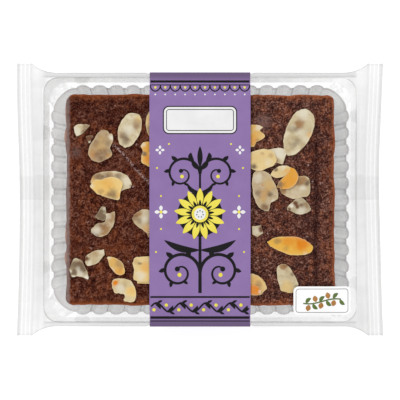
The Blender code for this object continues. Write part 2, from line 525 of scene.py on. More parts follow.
CRUMB_SIZES = {
    "swell": 0.0170, "roll": 0.0065, "knob": 0.0026, "grain": 0.00125, "ridge": 0.0016, "pit": 0.0021,
}
PITS_ABOVE = 0.62


def crumb(x, y, seed=0):
    """The crust's relief in metres: long swells, knobs of a few millimetres, then grains and pits."""
    high, size = CRUMB_HEIGHTS, CRUMB_SIZES
    swell = high["swell"] * lattice(x, y, size["swell"], seed + 1)
    swell = swell + high["roll"] * lattice(x, y, size["roll"], seed + 2)
    knobs = high["knob"] * lattice(x + 0.3 * swell, y, size["knob"], seed + 3)
    grains = high["grain"] * lattice(x, y, size["grain"], seed + 4)
    ridges = high["ridge"] * (1 - 2 * np.abs(lattice(x, y, size["ridge"], seed + 5)))
    pits = np.clip(lattice(x, y, size["pit"], seed + 6) - PITS_ABOVE, 0, 1)
    return swell, knobs + grains + ridges - high["pit"] * pits / (1 - PITS_ABOVE)


def distance_to_line(x, y, ends):
    """How far each point is from the straight line between two ends."""
    start, end = np.array(ends[0]), np.array(ends[1])
    run = end - start
    share = np.clip(((x - start[0]) * run[0] + (y - start[1]) * run[1]) / (run @ run), 0, 1)
    return np.hypot(x - start[0] - share * run[0], y - start[1] - share * run[1])


def fringe_share(y):
    """1 along the stretches of the left side where paler crumb stands out, 0 elsewhere."""
    row = to_pixel(0, y, SLAB_TOP)[1]
    return np.max([blob(np.abs(row - middle), half) for middle, half in FRINGES], axis=0) ** 0.5


def side_reach(across, corner):
    """How far the slab reaches along x at each distance across: less where its round corner begins."""
    into = np.clip(np.abs(across) - (SLAB_HALF[1] - corner), 0, corner)
    return SLAB_HALF[0] - corner + np.sqrt(corner**2 - into**2)


def slab_plan():
    """x and y over a rectangle with round corners. Its outline wanders, bulges and carries the fringes."""
    v = np.linspace(-1, 1, SLAB_COLUMNS)
    u = np.linspace(-1, 1, SLAB_ROWS)
    across = v * SLAB_HALF[1]
    left, right = (side_reach(across, SLAB_CORNERS[side]) for side in ("left", "right"))
    x = u[:, None] * np.where(u[:, None] < 0, left[None, :], right[None, :])
    y = np.broadcast_to(across, x.shape).copy()
    ragged_x = WANDER * lattice(y, 0 * y, 0.011, 21) + RAGGED * lattice(y, 0 * y, 0.0027, 22)
    ragged_y = WANDER * lattice(x, 0 * x, 0.012, 23) + RAGGED * lattice(x, 0 * x, 0.0029, 24)
    bulge = 0.0006 * eased((-y - 0.038) / 0.006) * (x > 0) + FRINGE_WIDTH * fringe_share(y) * (x < 0)
    at_end = np.sign(u) * np.abs(u) ** RAGGED_POWER
    at_side = np.sign(v) * np.abs(v) ** RAGGED_POWER
    x = x + at_end[:, None] * (ragged_x + bulge + 0.0002 + 0.0004 * (x > 0))
    y = y + at_side[None, :] * (ragged_y + 0.0001)
    return x, y


def slab_relief(x, y, edge):
    """The slab's height and its marks for the finish. edge is the distance in from the outline."""
    swell, fine = crumb(x, y)
    inwards = np.clip(edge / SLAB_SHOULDER, 0, 1)
    shoulder = SLAB_SHOULDER * (1 - np.sqrt(1 - (1 - inwards) ** 2))
    in_groove = eased((y - GROOVE_ENDS[0]) / 0.004) * eased((GROOVE_ENDS[1] - y) / 0.012)
    wander = 0.0005 * lattice(y, 0 * y, 0.013, 31)
    groove = in_groove * blob(np.abs(x - GROOVE_AT - wander), GROOVE_HALF)
    crease = blob(distance_to_line(x, y, CREASE_ENDS), CREASE_HALF)
    pixels = to_pixel(x, y, SLAB_TOP)
    pits = spots_share(*pixels, PITS)
    height = SLAB_TOP - shoulder + swell + fine
    height = height - GROOVE_DEPTH * groove - CREASE_DEPTH * crease - PIT_DEPTH * pits
    far_left = 0.24 * eased((y - 0.030) / 0.020) * eased(-x / 0.020)
    on_right = eased((x + 0.01) / 0.03)
    left = eased((-x - SLAB_HALF[0] + DUSTY_STRIP + 0.0004 * lattice(x, y, 0.0015, 32)) / 0.0012)
    marks = {
        "rust": np.maximum(blob(edge, RUST_REACH), spots_share(*pixels, RUST_PATCHES)) * (1 - left),
        # Painted shade in the scored line and the pits, and a darker stretch towards the far left.
        "dark": np.max([groove, pits, far_left], axis=0),
        # Pale specks: painted glints along the crease and on the glinting grains, and a few over all the
        # crust, more on the right.
        "pale": np.maximum(crease, 1.4 * spots_share(*pixels, GLINTING_GRAINS)) + 0.03 + 0.06 * on_right,
        # A greyish tone, partly dust and partly a painted sheen of the film, on the left strip, the patches
        # and a little on the right.
        "dusty": np.max([left, spots_share(*pixels, DUST_AND_SHEEN_PATCHES), 0.05 * on_right], axis=0),
        "fringe": eased((-x - SLAB_HALF[0] + 0.0002) / 0.0006) * fringe_share(y),
        # The fine relief's height, which the finish turns into painted light and shade on each grain.
        "knob": 1000 * fine,
        "coarse": 0.74 + 0.24 * on_right + 0.14 * lattice(x, y, 0.014, 33),
        "rim": blob(edge, RIM_REACH) * (1 - left),
    }
    return height, marks


x, y = slab_plan()
edge_x = (1 - np.abs(np.linspace(-1, 1, SLAB_ROWS)))[:, None] * SLAB_HALF[0]
edge_y = (1 - np.abs(np.linspace(-1, 1, SLAB_COLUMNS)))[None, :] * SLAB_HALF[1]
height, marks = slab_relief(x, y, np.maximum(lower_of(edge_x, edge_y), 0))
upper = placed(x, y, height)
top_numbers = grid_numbers(SLAB_ROWS, SLAB_COLUMNS)
outline = edge_ring(top_numbers)
edge_points = upper.reshape(-1, 3)[outline]
print("slab", np.ptp(x), "by", np.ptp(y), "outline of", len(outline))

# %% [markdown]
# The sides hang from the grid's outline. Each ring is the outline moved outwards by a low bulge with
# its own grain, and moved down. The last rings shrink along the floor and a flat cap closes them.

# %% The slab's sides and underside
SIDE_BULGE = 0.0003
SIDE_UNDERCUT = 0.0015
SIDE_GRAIN = 0.9
BASE_SHARES = (0.97, 0.85, 0.5, 0.1)
SIDE_MARKS = {"rust": 0.8, "coarse": 0.8}
drop = np.linspace(0, 1, SIDE_RINGS + 1)[1:, None]
ahead = np.roll(edge_points, -1, axis=0) - np.roll(edge_points, 1, axis=0)
outwards = np.stack([ahead[:, 1], -ahead[:, 0]], axis=-1)
outwards /= np.linalg.norm(outwards, axis=1, keepdims=True)
around = np.cumsum(np.linalg.norm(np.diff(edge_points, axis=0, prepend=edge_points[:1]), axis=1))
ring_z = edge_points[:, 2] + (SLAB_FLOOR - edge_points[:, 2]) * drop
side_fine = crumb(around[None, :] + 0 * drop, ring_z, seed=40)[1]
rounded = np.sin(np.pi * drop)
bulge = SIDE_BULGE * rounded - SIDE_UNDERCUT * drop**3 + SIDE_GRAIN * side_fine * rounded**0.5
sides = edge_points[None, :, :2] + outwards[None] * bulge[..., None]
sides = np.concatenate([sides, ring_z[..., None]], axis=-1)
base_rings = sides[-1][None] * np.array(BASE_SHARES)[:, None, None]
base_rings[..., 2] = SLAB_FLOOR
rings = np.concatenate([sides, base_rings])
numbers = np.concatenate([outline[None], grid_numbers(*rings.shape[:2], first=top_numbers.size)])
slab_points = np.concatenate([upper.reshape(-1, 3), rings.reshape(-1, 3)])
faces = np.concatenate([quad_faces(top_numbers), quad_faces(numbers, around=True)])
slab_faces = [*faces.tolist(), numbers[-1].tolist()]
side_marks = {kind: np.full(rings.shape[:2], SIDE_MARKS.get(kind, 0.0)) for kind in marks}
# The sides' relief height, for the same painted light and shade.
side_marks["knob"][:SIDE_RINGS] = 600 * side_fine
side_marks["fringe"] = rings[..., 0] < -SLAB_HALF[0]
slab_marks = {kind: np.concatenate([marks[kind].reshape(-1), side_marks[kind].reshape(-1)]) for kind in marks}
slab_points[:, 1] += SLAB_OFF_MIDDLE - SLAB_SLANT * slab_points[:, 0]
slab = mesh_piece("baked_slab", slab_points, slab_faces, **slab_marks)

# %% [markdown]
# The crust's colour has three parts: a dark red-brown that the relief's height paints lighter on top of
# each grain and darker in its hollows, which is painted light and shade over the crumb's own mottling;
# rust where the crumb is torn or thin; and near black in pits and in the scored line, which is painted
# shade. Over these lie a greyish tone, partly dust and partly a painted sheen of the film, and pale
# specks, partly pale crumb and partly painted glints.


# %% The slab's finish
CRUST_STOPS = (
    (0.0, (38, 7, 1)), (0.30, (63, 20, 8)), (0.55, (95, 51, 36)),
    (0.80, (126, 84, 69)), (1.0, (166, 132, 120)),
)
TORN_TONES = ((70, 23, 8), (168, 90, 46))
# The greyish tone, partly dust and partly a painted sheen of the film.
DUST_AND_SHEEN_TONE = (142, 118, 112)
# The dark tone is painted shade in the pits and the scored line.
MARK_TONES = {"rim": (0.65, (186, 100, 56)), "fringe": (0.9, (196, 152, 132)), "dark": (0.85, (48, 12, 6))}
# The pale specks' tone, which also paints the glints.
SPECK_AND_GLINT_TONE = (196, 172, 168)


def baked_crust():
    """The crust's material: one grain value drives the colour, and the mesh's marks lie over it."""
    finish = Finish("baked crust", Roughness=0.62, Specular_IOR_Level=0.03)
    place = finish.place()
    fine = finish.noise(1150, 3.0, 0.6, place)
    middling = finish.noise(420, 3.0, 0.6, place)
    worms = finish.noise(720, 2.0, 0.6, place).away_from(0.5)
    patches = finish.noise(95, 3.0, 0.6, place)
    knob = finish.attribute("knob")
    # Painted light and shade: the relief's height makes grain tops lighter and hollows darker, over the
    # crumb's own mottling.
    grain = knob * 0.8 + (fine - 0.5) * 2.3 + (middling - 0.5) * 0.9 - worms * 0.8
    lift = (grain * finish.attribute("coarse") + 0.43).clipped()
    stops = [(place, screen_colour(*tone)) for place, tone in CRUST_STOPS]
    crust = finish.node("ShaderNodeValToRGB", {"stops": stops}, {0: lift})
    torn = patches.between(0.42, 0.66) * middling.between(0.38, 0.58) * 0.55
    torn = (torn + finish.attribute("rust") * 0.75).clipped()
    torn_crumb = finish.mix(lift, *(screen_colour(*tone) for tone in TORN_TONES))
    colour = finish.mix(torn, crust, torn_crumb)
    # Partly dust and partly a painted sheen of the film, mottled by the grain.
    dust_and_sheen_share = (finish.attribute("dusty") * (middling * 0.7 + fine * 0.7 + 0.2)).clipped()
    colour = finish.mix(dust_and_sheen_share, colour, screen_colour(*DUST_AND_SHEEN_TONE))
    for kind, (strength, tone) in MARK_TONES.items():
        colour = finish.mix(finish.attribute(kind) * strength, colour, screen_colour(*tone))
    # Pale specks over the crust, partly pale crumb and partly painted glints.
    speck_and_glint = (finish.attribute("pale") * fine.between(0.46, 0.60)).clipped()
    colour = finish.mix(speck_and_glint * 0.75, colour, screen_colour(*SPECK_AND_GLINT_TONE))
    normal = finish.bump(fine + middling, 0.55, 0.0004)
    return finish.end(Base_Color=colour, Normal=normal)


slab.data.materials.append(baked_crust())
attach(slab, "root")
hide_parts("film_pack")

# %% [markdown]
# ## Almond flakes
#
# A flake is a slice across an almond, under a millimetre thick: cream inside, toasted orange where the
# oven caught it, grey-olive where it is thin enough for the dark crust to show through, and broken at
# the edges. Each one here is a ladder between two side lines that run from one tip to the other, so a
# bent piece or one with a bite needs nothing special. The side lines are the few points where each
# flake's outline turns, read from the photograph. Spots of tone are placed the same way.

# %% The flakes, each with its two sides and its spots (kind, pixel x, pixel y, radius, strength)
FLAKES = {
    "wedge": {
        "sides": ([(74, 127.7), (76.9, 125.2), (81.7, 124.5), (89.7, 124.9)],
            [(74.9, 132.2), (76.6, 136), (79.5, 135.3), (84.2, 132.2), (89.9, 125.8)]),
        "spots": [("pale", 77, 131, 5, 0.6), ("skin", 86.5, 128, 6, 0.5), ("skin", 83, 133, 3, 0.5)],
    },
    "sliver": {
        "sides": ([(86, 137), (89, 136), (92.8, 135.2)],
            [(86.2, 138), (88, 141.5), (89.8, 143), (92.6, 136.5)]),
        "spots": [("skin", 89, 137.5, 6, 0.95), ("pale", 89.7, 142.5, 1.6, 0.6)],
        "thick": 0.5,
    },
    "torn oval": {
        "sides": ([(101.5, 130), (97, 134.7), (93.2, 141.1), (90.3, 145.6), (88.7, 151.3), (89.3, 155.8),
            (92.5, 160.3), (98, 162.4)],
            [(102.5, 129.9), (107.2, 130.6), (109.4, 133.8), (112, 134.1), (113.3, 139.8), (112.3, 143.7),
            (110.4, 148.1), (112, 152.6), (111.8, 156), (107.2, 159), (100, 162.4)]),
        "spots": [("ember", 92, 155.5, 4, 0.45), ("toast", 92.5, 151.5, 4, 0.5),
            ("skin", 98.5, 155, 4.5, 0.45), ("skin", 103, 160, 5, 0.4), ("toast", 109.5, 156, 4, 0.6),
            ("shade", 108.5, 143.5, 3.5, 0.5), ("pale", 112, 138, 3, 0.8), ("butter", 101, 138.5, 4, 0.6),
            ("shade", 111, 150.5, 3, 0.7), ("butter", 101, 147, 6, 0.7), ("skin", 104, 152.5, 4.5, 0.45),
            ("skin", 96, 143, 4, 0.3)],
        "tone": ("tan", 0.58),
        "curl": 0.6,
    },
    "whole oval": {
        "sides": ([(132.1, 113.1), (127.6, 114.3), (123.1, 118.8), (119.6, 125.8), (118.1, 132.2),
            (118.4, 139.2), (120, 144.3), (122.8, 146.2)],
            [(133, 113.1), (136.5, 113.7), (140.7, 116.9), (142, 123.3), (141, 130.9), (136.5, 139.8),
            (131.4, 145.6), (125.1, 148.1)]),
        "spots": [("pale", 129.5, 130, 6.5, 0.5), ("tan", 136.5, 125, 6, 0.6),
            ("shade", 136, 126.5, 3.5, 0.3), ("butter", 138.5, 119, 3.5, 0.6),
            ("tan", 122, 134.5, 6, 0.5), ("shade", 124.5, 136, 5, 0.5), ("shade", 126, 141.5, 5, 0.5),
            ("tan", 124, 141, 4.5, 0.3)],
        "curl": 0.4,
    },
    "half under the band": {
        "sides": ([(152, 109.8), (148.5, 113), (146.3, 119), (146.1, 127), (148, 134), (151.5, 139)],
            [(154, 109.8), (160, 112), (164, 119), (164, 128), (160, 136), (153, 139.2)]),
        "spots": [("shade", 148.5, 129, 5, 0.5), ("tan", 149, 134, 5, 0.5)],
        "tone": ("gold", 0.45),
    },
    "torn under the band": {
        "sides": ([(143, 142.5), (141, 146), (142.6, 149.5), (143, 152), (141.3, 157), (141.5, 162.5),
            (146, 165), (150, 167.3)],
            [(146, 141.8), (156, 141.8), (162, 147), (163, 156), (159, 164), (151, 167.5)]),
        "spots": [("ember", 148, 159.5, 6, 0.45), ("toast", 147, 149, 7, 0.6),
            ("shade", 143.8, 153.5, 3, 0.8), ("pale", 143.5, 145, 3, 0.5)],
        "tone": ("gold", 0.7),
    },
    "under the fan": {
        "sides": ([(91, 180.5), (93.5, 176), (99, 172.5), (107, 171.2), (116, 171.4), (124, 173.7),
            (129, 178), (132, 184.3)],
            [(91, 182), (95, 189), (105, 193), (116, 193.5), (125, 189.2), (129.6, 187.9),
            (131.8, 185.5)]),
        "spots": [("toast", 92.5, 180, 4, 0.5), ("tan", 98, 175.5, 6, 0.9),
            ("shade", 99.5, 176.5, 4.5, 0.5), ("tan", 109, 173.5, 6, 0.7), ("skin", 119, 175.5, 4, 0.5),
            ("skin", 130.8, 185.7, 1.8, 0.6), ("pale", 128, 183, 5, 0.3), ("shade", 107, 177, 5, 0.5)],
    },
    "fan": {
        "sides": ([(90.3, 185.5), (93.8, 180.5), (97, 179.3), (101.5, 179.4), (105.5, 178.2), (111, 177),
            (116, 177.6), (120.5, 180), (123, 183)],
            [(90.4, 187), (94.5, 191.5), (100, 194.9), (108.9, 198.2), (116.4, 199.9), (119.8, 198.9),
            (120.2, 194.5), (121.2, 190), (123, 184.5)]),
        "spots": [("toast", 108, 182, 8, 0.3), ("gold", 105, 187, 13, 0.4),
            ("shade", 112.8, 193.3, 5.5, 0.6), ("tan", 101, 192, 3.5, 0.5), ("skin", 114.5, 197, 5, 0.4),
            ("toast", 119, 195, 3, 0.5), ("tan", 106, 196, 4, 0.4), ("butter", 100, 185, 9, 0.8),
            ("pale", 92, 186, 2.5, 0.4)],
        "tone": ("butter", 1.0),
        "lift": 0.8,
        "curl": 0.5,
    },
    "grey chip": {
        "sides": ([(95.2, 216.5), (97.3, 213.2), (101.5, 206.6), (105.6, 207)],
            [(95.4, 217.5), (99, 219.4), (104.7, 220.6), (106.4, 212.5)]),
        "spots": [("shade", 99, 212.5, 5, 0.5), ("shade", 103.5, 218, 4, 0.6),
            ("pale", 104.5, 208.5, 2, 0.4)],
        "tone": ("shade", 0.55),
    },
    "crescent": {
        "sides": ([(114.4, 211.3), (111, 212.8), (106.6, 214), (105.9, 218), (104.8, 222.3), (98, 223.2),
            (94.5, 226.5), (91.2, 230)],
            [(115, 211.8), (115.1, 217.3), (113.9, 224), (109.8, 231.4), (104.8, 235.6), (99.8, 237.2),
            (95.7, 235.6), (91.6, 232)]),
        "spots": [("pale", 96.5, 230.5, 5, 0.6), ("tan", 105, 231, 7, 0.7),
            ("skin", 98.5, 225.3, 3.5, 0.4), ("shade", 95.5, 234.8, 4.5, 0.95),
            ("pale", 108, 216, 3.5, 0.4), ("tan", 112, 218, 6, 0.4), ("skin", 104, 225, 4, 0.25)],
        "tone": ("tan", 0.35),
        "curl": 0.5,
    },
    "left of the rosette": {
        "sides": ([(132, 217.6), (135.5, 213.5), (139.5, 210.8), (144, 209.4), (149, 210), (156, 213),
            (161, 219)],
            [(132.2, 218.8), (135, 223.5), (138.8, 227.3), (143, 230), (148, 233), (155, 232),
            (161.5, 224)]),
        "spots": [("tan", 137, 212.5, 6, 0.9), ("skin", 134.5, 217, 5, 0.45),
            ("shade", 139.5, 220.5, 4, 0.5), ("toast", 147, 229, 5, 0.5), ("pale", 144.5, 219, 4, 0.5)],
        "tone": ("tan", 0.28),
        "lift": 0.3,
    },
    "corner under the band": {
        "sides": ([(146, 231), (150, 231), (157, 233)],
            [(146.3, 232.8), (149.5, 237.5), (156, 237)]),
        "tone": ("tan", 0.8),
    },
    "trapezoid": {
        "sides": ([(85.5, 256.3), (89, 253.8), (96.5, 250.5), (104, 249.5)],
            [(85.3, 260), (85.6, 263.2), (88.2, 265.8), (93.5, 264.6), (98.1, 263), (100.6, 259.2),
            (104.8, 255)]),
        "spots": [("skin", 86, 258.5, 3, 0.95), ("pale", 102.5, 252, 4, 0.5), ("pale", 89.5, 264, 3, 0.5),
            ("tan", 95, 253.5, 4, 0.4)],
        "tone": ("tan", 0.12),
    },
    "grey ragged": {
        "sides": ([(69.5, 269.5), (71.6, 263), (75, 258.4), (80, 259.6), (83.2, 262), (85, 267),
            (87.4, 272), (89, 277)],
            [(70.4, 271.5), (72.5, 276.6), (77.4, 276.2), (83.2, 277), (87.8, 279.2), (88.9, 278)]),
        "spots": [("shade", 82.5, 267.5, 5.5, 0.8), ("shade", 73.5, 265.5, 5.5, 0.55),
            ("shade", 74.5, 273, 4, 0.65), ("pale", 78.5, 269, 3, 0.4), ("pale", 80, 274, 4, 0.5),
            ("skin", 80.5, 261.5, 3, 0.4), ("pale", 87, 277.5, 2.5, 0.9), ("pale", 74, 276.5, 2, 0.9),
            ("pale", 70.8, 271, 1.8, 0.7)],
        "tone": ("shade", 0.3),
        "curl": 0.6,
    },
    "slanting": {
        "sides": ([(108, 256.6), (113, 256.8), (118, 259.2), (123, 263.5), (124.7, 269.5), (124.6, 273)],
            [(107.3, 257.5), (108.2, 260.5), (109.4, 265.4), (113.2, 270.4), (118, 274.5), (121.4, 275),
            (124, 274)]),
        "spots": [("toast", 113.5, 262, 6, 0.2), ("ember", 119, 271, 4.5, 0.12),
            ("toast", 119, 271, 5, 0.35), ("tan", 119.5, 263.5, 6, 0.6), ("pale", 109, 257.8, 2.5, 0.5),
            ("pale", 111.5, 270, 3, 0.4)],
        "tone": ("gold", 0.6),
    },
    "upper of two": {
        "sides": ([(137, 257.1), (134.2, 258.8), (133, 263), (133.4, 266.2), (134.2, 272), (133.4, 278.7),
            (137, 281.5)],
            [(145, 256.3), (158, 257), (160, 264), (160, 272), (158, 279), (145, 282)]),
        "spots": [("shade", 139.6, 263.2, 2, 0.75), ("toast", 145.5, 267.5, 6, 0.5),
            ("tan", 136, 262, 4, 0.3), ("butter", 146, 274, 8, 0.5), ("pale", 141, 276, 6, 0.6)],
        "tone": ("butter", 0.6),
        "lift": 0.7,
    },
    "lower of two": {
        "sides": ([(140, 272), (137.1, 278), (137.2, 283.2)],
            [(156, 272), (158, 278), (156, 283.8)]),
        "tone": ("butter", 0.85),
    },
    "bean": {
        "sides": ([(111.8, 282.8), (113.1, 279.5), (118, 278.4), (125.5, 278.7), (131.3, 281.2),
            (135, 287), (136.3, 293.6), (135, 300.2), (131.3, 302.1)],
            [(112, 284), (113.1, 288.6), (115.6, 292.8), (119.7, 293.2), (123.9, 294), (125, 297.3),
            (124, 299.4), (126.3, 301.5), (130.5, 302.2)]),
        "spots": [("ember", 115.6, 282.5, 3.2, 1.0), ("butter", 132.5, 291, 6.5, 0.8),
            ("pale", 120.5, 288, 5, 0.6), ("tan", 124.5, 284, 3, 0.3), ("toast", 132, 290, 4, 0.25)],
        "tone": ("butter", 0.25),
        "curl": 0.4,
    },
    "two lobes": {
        "sides": ([(251, 124.5), (246, 130), (245, 138), (249, 146.5)],
            [(254, 124.9), (258.7, 125.2), (262.9, 127.1), (260.6, 129.6), (260.3, 131.6), (264.1, 134.1),
            (264.8, 136.7), (261.6, 139.8), (256.5, 142.4), (254, 147.2)]),
        "spots": [("pale", 258.5, 127.5, 4, 0.6), ("toast", 257, 133.5, 4.5, 0.25),
            ("ember", 253.5, 142, 5, 0.3), ("tan", 257.5, 140.5, 3, 0.5), ("toast", 253, 139, 6, 0.5)],
        "tone": ("gold", 0.55),
    },
    "largest": {
        "sides": ([(287.5, 155.7), (285.8, 152), (283.9, 148.8), (283.3, 142.4), (283.9, 136),
            (285.8, 129.6), (288.4, 123.3), (292.2, 116.9), (296, 112.4), (300.5, 109.6)],
            [(290, 156), (293.5, 155.2), (299.8, 150.7), (306.2, 143.7), (310.7, 136), (313.6, 128.4),
            (314.2, 120.7), (312.6, 115), (309.4, 111.1), (305, 109.1)]),
        "spots": [("tan", 299.5, 125.5, 6, 0.95), ("shade", 295.5, 129.5, 4, 0.6),
            ("shade", 289.5, 128, 4, 0.35), ("shade", 297, 141.5, 4.5, 0.5), ("shade", 293, 146, 4, 0.35),
            ("toast", 309, 135, 3, 0.5), ("pale", 304, 114, 6, 0.5), ("pale", 302, 132, 6, 0.3),
            ("tan", 303, 145, 4, 0.3)],
        "lift": 0.3,
        "curl": 0.4,
    },
    "yellow oval": {
        "sides": ([(246, 160), (249, 154), (254.5, 151), (262.2, 149.1), (268.6, 149.7), (273.7, 152.9),
            (276.6, 158.3)],
            [(246.5, 163), (250, 168), (258.4, 170.8), (266.7, 168.5), (273, 166), (276.5, 161.5)]),
        "spots": [("shade", 253.8, 166.8, 3.2, 0.9), ("tan", 262.5, 153.5, 2, 0.4),
            ("tan", 271, 155.5, 3, 0.4), ("pale", 268, 163, 5, 0.3)],
        "tone": ("butter", 0.6),
        "lift": 0.8,
    },
    "pointed behind": {
        "sides": ([(266, 150), (275.6, 148.1), (283.3, 148.8), (288.4, 151.3)],
            [(268, 158), (274, 162.5), (278.2, 163.3), (282.6, 163.9), (285.8, 155.8), (288.2, 152.3)]),
        "spots": [("tan", 276, 161, 4, 0.7), ("pale", 279, 153, 6, 0.7)],
    },
    "speckled": {
        "sides": ([(257, 170.5), (253.2, 174), (252, 182), (252.2, 189), (254.2, 198.2), (258.3, 206.5),
            (264, 211)],
            [(262, 170.3), (269.2, 174), (273.7, 182), (276.5, 187), (277.8, 193.3), (277.3, 199),
            (273, 202), (270.5, 203.5), (269.5, 208), (268.5, 211.2)]),
        "spots": [("pale", 257, 178, 6, 0.5), ("butter", 269, 185, 7, 0.8),
            ("ember", 263, 185.6, 1.8, 0.6), ("toast", 264, 194, 6, 0.5),
            ("shade", 269.8, 194.5, 3.4, 0.85), ("shade", 258, 193.5, 4.5, 0.5),
            ("skin", 264, 207, 5, 0.6), ("butter", 263, 200.5, 4, 0.5), ("pale", 273, 200.5, 2.5, 0.5)],
        "tone": ("tan", 0.4),
        "curl": 0.3,
    },
    "small cream": {
        "sides": ([(270.6, 173.5), (273.7, 169.8), (279.4, 166.3), (285.8, 165.5), (290, 167.5)],
            [(270.9, 175.5), (273, 177), (277, 178), (282, 176.8), (286.5, 174.2), (290.3, 169.5)]),
        "spots": [("shade", 275.8, 170, 2.2, 0.8), ("toast", 287, 171, 4.5, 0.45),
            ("pale", 283, 167, 4, 0.5)],
        "tone": ("butter", 0.5),
        "lift": 0.9,
    },
    "round toasted": {
        "sides": ([(276.4, 186.2), (280, 180.5), (284.5, 176), (288.5, 171.5), (290, 167.4)],
            [(277, 187.4), (282, 189), (289.5, 188), (295, 184.7), (297.8, 179.5), (297.5, 174),
            (294, 169), (291, 167.3)]),
        "spots": [("tan", 278, 184, 5.5, 0.9), ("shade", 280, 184.5, 4, 0.4), ("ember", 291, 181, 6, 0.1),
            ("butter", 283, 186, 4, 0.5)],
        "tone": ("toast", 0.88),
        "lift": 0.6,
        "curl": 0.6,
    },
    "grey green": {
        "sides": ([(279.8, 189), (281.5, 183), (290, 177), (298.5, 176.2), (304.3, 175.9), (308.8, 178.1),
            (310, 182.6)],
            [(280.2, 190.5), (282.5, 193.5), (288, 197.2), (294.8, 199), (299.7, 198), (303, 197),
            (306.8, 196.2), (309.3, 193.3), (310.1, 186.7)]),
        "spots": [("tan", 300.5, 180, 7, 0.95), ("shade", 307, 183.5, 3.5, 0.9),
            ("tan", 282.5, 191, 4, 0.7), ("pale", 302.5, 188, 3.5, 0.5), ("shade", 299, 183, 3, 0.3)],
        "tone": ("tan", 0.25),
    },
    "brown notch": {
        "sides": ([(286.9, 208.9), (288.1, 205.7), (292.7, 201.6), (294.8, 199.8), (301.4, 197.8),
            (304.7, 199.9), (308, 204), (310.9, 208.2)],
            [(287.2, 210), (289.8, 210.7), (294.8, 213.2), (300.6, 214.2), (305.5, 213.2), (309.7, 210.7),
            (310.8, 209.3)]),
        "spots": [("skin", 295, 203.5, 3.2, 1.0), ("skin", 297.5, 207, 2.5, 1.0),
            ("skin", 301, 205.5, 2.5, 0.6), ("skin", 289.5, 209, 1.8, 0.95),
            ("tan", 305.5, 205.5, 4.5, 0.7), ("pale", 291.5, 206, 3, 0.8), ("pale", 301, 211, 5, 0.5)],
        "tone": ("shade", 0.34),
    },
    "crumb of almond": {
        "sides": ([(252, 226.5), (256, 225.8), (260.8, 225.6)],
            [(252.3, 234), (257.4, 236.8), (260, 234.8), (263.2, 233)]),
        "spots": [("skin", 261, 229.5, 3.5, 0.9), ("pale", 256, 232, 4, 0.4)],
        "tone": ("shade", 0.15),
    },
    "lens": {
        "sides": ([(267, 241.8), (272.4, 238.5), (278.2, 237), (284.8, 236.4), (293, 236.6), (300.6, 238),
            (307.2, 241.4), (311.7, 245.5), (312.8, 247.6)],
            [(267.2, 242.4), (270.7, 246.3), (278.2, 250.5), (288.1, 254.2), (296.4, 255.5),
            (304.7, 254.6), (310.5, 252.1), (312.6, 248.6)]),
        "spots": [("ember", 289, 239.5, 8, 0.5), ("ember", 302, 242, 9, 0.8),
            ("shade", 276.8, 241.5, 4, 0.45), ("shade", 286, 249, 3.5, 0.25), ("toast", 303, 250, 6, 0.3),
            ("pale", 305, 254, 3, 0.3), ("butter", 291, 252, 5, 0.3)],
        "tone": ("gold", 0.9),
        "curl": 0.5,
    },
    "ragged foot": {
        "sides": ([(281.5, 263.7), (278.2, 266.2), (276.9, 269.6), (277.3, 277), (279, 284.5),
            (281.5, 290.7), (284.8, 290.7)],
            [(285.6, 264.2), (289.8, 267.9), (293.9, 274.5), (297.2, 281.2), (298, 285.3), (294.8, 291.1),
            (291, 292.7), (287.3, 292.4)]),
        "spots": [("tan", 283, 266, 5, 0.95), ("skin", 284.5, 265.5, 2.5, 0.3),
            ("shade", 292.3, 274, 2.8, 0.7), ("butter", 287, 288, 8, 0.7),
            ("shade", 296.3, 286, 2.2, 0.5), ("shade", 287.7, 277, 1.4, 0.3)],
        "tone": ("tan", 0.12),
    },
    "heart": {
        "sides": ([(236, 284), (240, 277), (251, 273.6), (256.6, 274.9), (261.6, 278.3), (264.9, 282)],
            [(236.5, 287), (241, 292), (251, 295), (257.4, 295.3), (260.8, 294.4), (264.1, 291.1),
            (267, 287.8), (265.7, 285.3)]),
        "spots": [("tan", 258, 284.5, 4, 0.6), ("toast", 254, 282, 6, 0.3)],
        "tone": ("gold", 0.45),
    },
    "orange chip": {
        "sides": ([(247, 285), (252, 284.9), (257.3, 285.9), (259.2, 288.6), (261, 291.2)],
            [(247, 293), (251.5, 294.2), (256, 295), (259, 294), (261, 291.9)]),
        "spots": [("pale", 260.5, 291.5, 2.5, 0.5), ("toast", 258.5, 290, 4, 0.6)],
        "tone": ("ember", 0.8),
        "lift": 0.9,
        "thick": 0.7,
    },
}
print(len(FLAKES), "flakes")

# %% [markdown]
# A smooth line through a flake's few points keeps the corners soft. The ladder then blends straight
# across from one line to the other, and two copies of that sheet, closed along their edge, make the
# flake's body. Across it the sheet rises at the edges, as a dried slice does, and it is held a little
# under the film wherever the film presses on it.

# %% One flake as arrays
FLAKE_ROWS = 44
FLAKE_COLUMNS = 20
FLAKE_THICKNESS = 0.0008
FLAKE_CLEARANCE = 0.00025
FLAKE_GAP = 0.0003
FLAKE_RAGGED = 0.00022
LINE_STEPS = 400
TONES = ("butter", "gold", "toast", "ember", "tan", "shade", "skin", "pale")


def smooth_line(points, count):
    """Count points along a smooth line through the given ones: a Catmull-Rom spline, evenly spaced."""
    corners = np.array(points, dtype=float)
    padded = np.concatenate([2 * corners[:1] - corners[1:2], corners, 2 * corners[-1:] - corners[-2:-1]])
    t = np.linspace(0, len(corners) - 1, LINE_STEPS)
    i = np.minimum(t.astype(int), len(corners) - 2)
    f = (t - i)[:, None]
    a, b, c, d = (padded[i + k] for k in range(4))
    line = 0.5 * (2 * b + (c - a) * f + (2 * a - 5 * b + 4 * c - d) * f**2 + (3 * b - a - 3 * c + d) * f**3)
    run = np.concatenate([[0], np.cumsum(np.linalg.norm(np.diff(line, axis=0), axis=1))])
    even = np.linspace(0, run[-1], count)
    return np.stack([np.interp(even, run, line[:, 0]), np.interp(even, run, line[:, 1])], axis=-1)


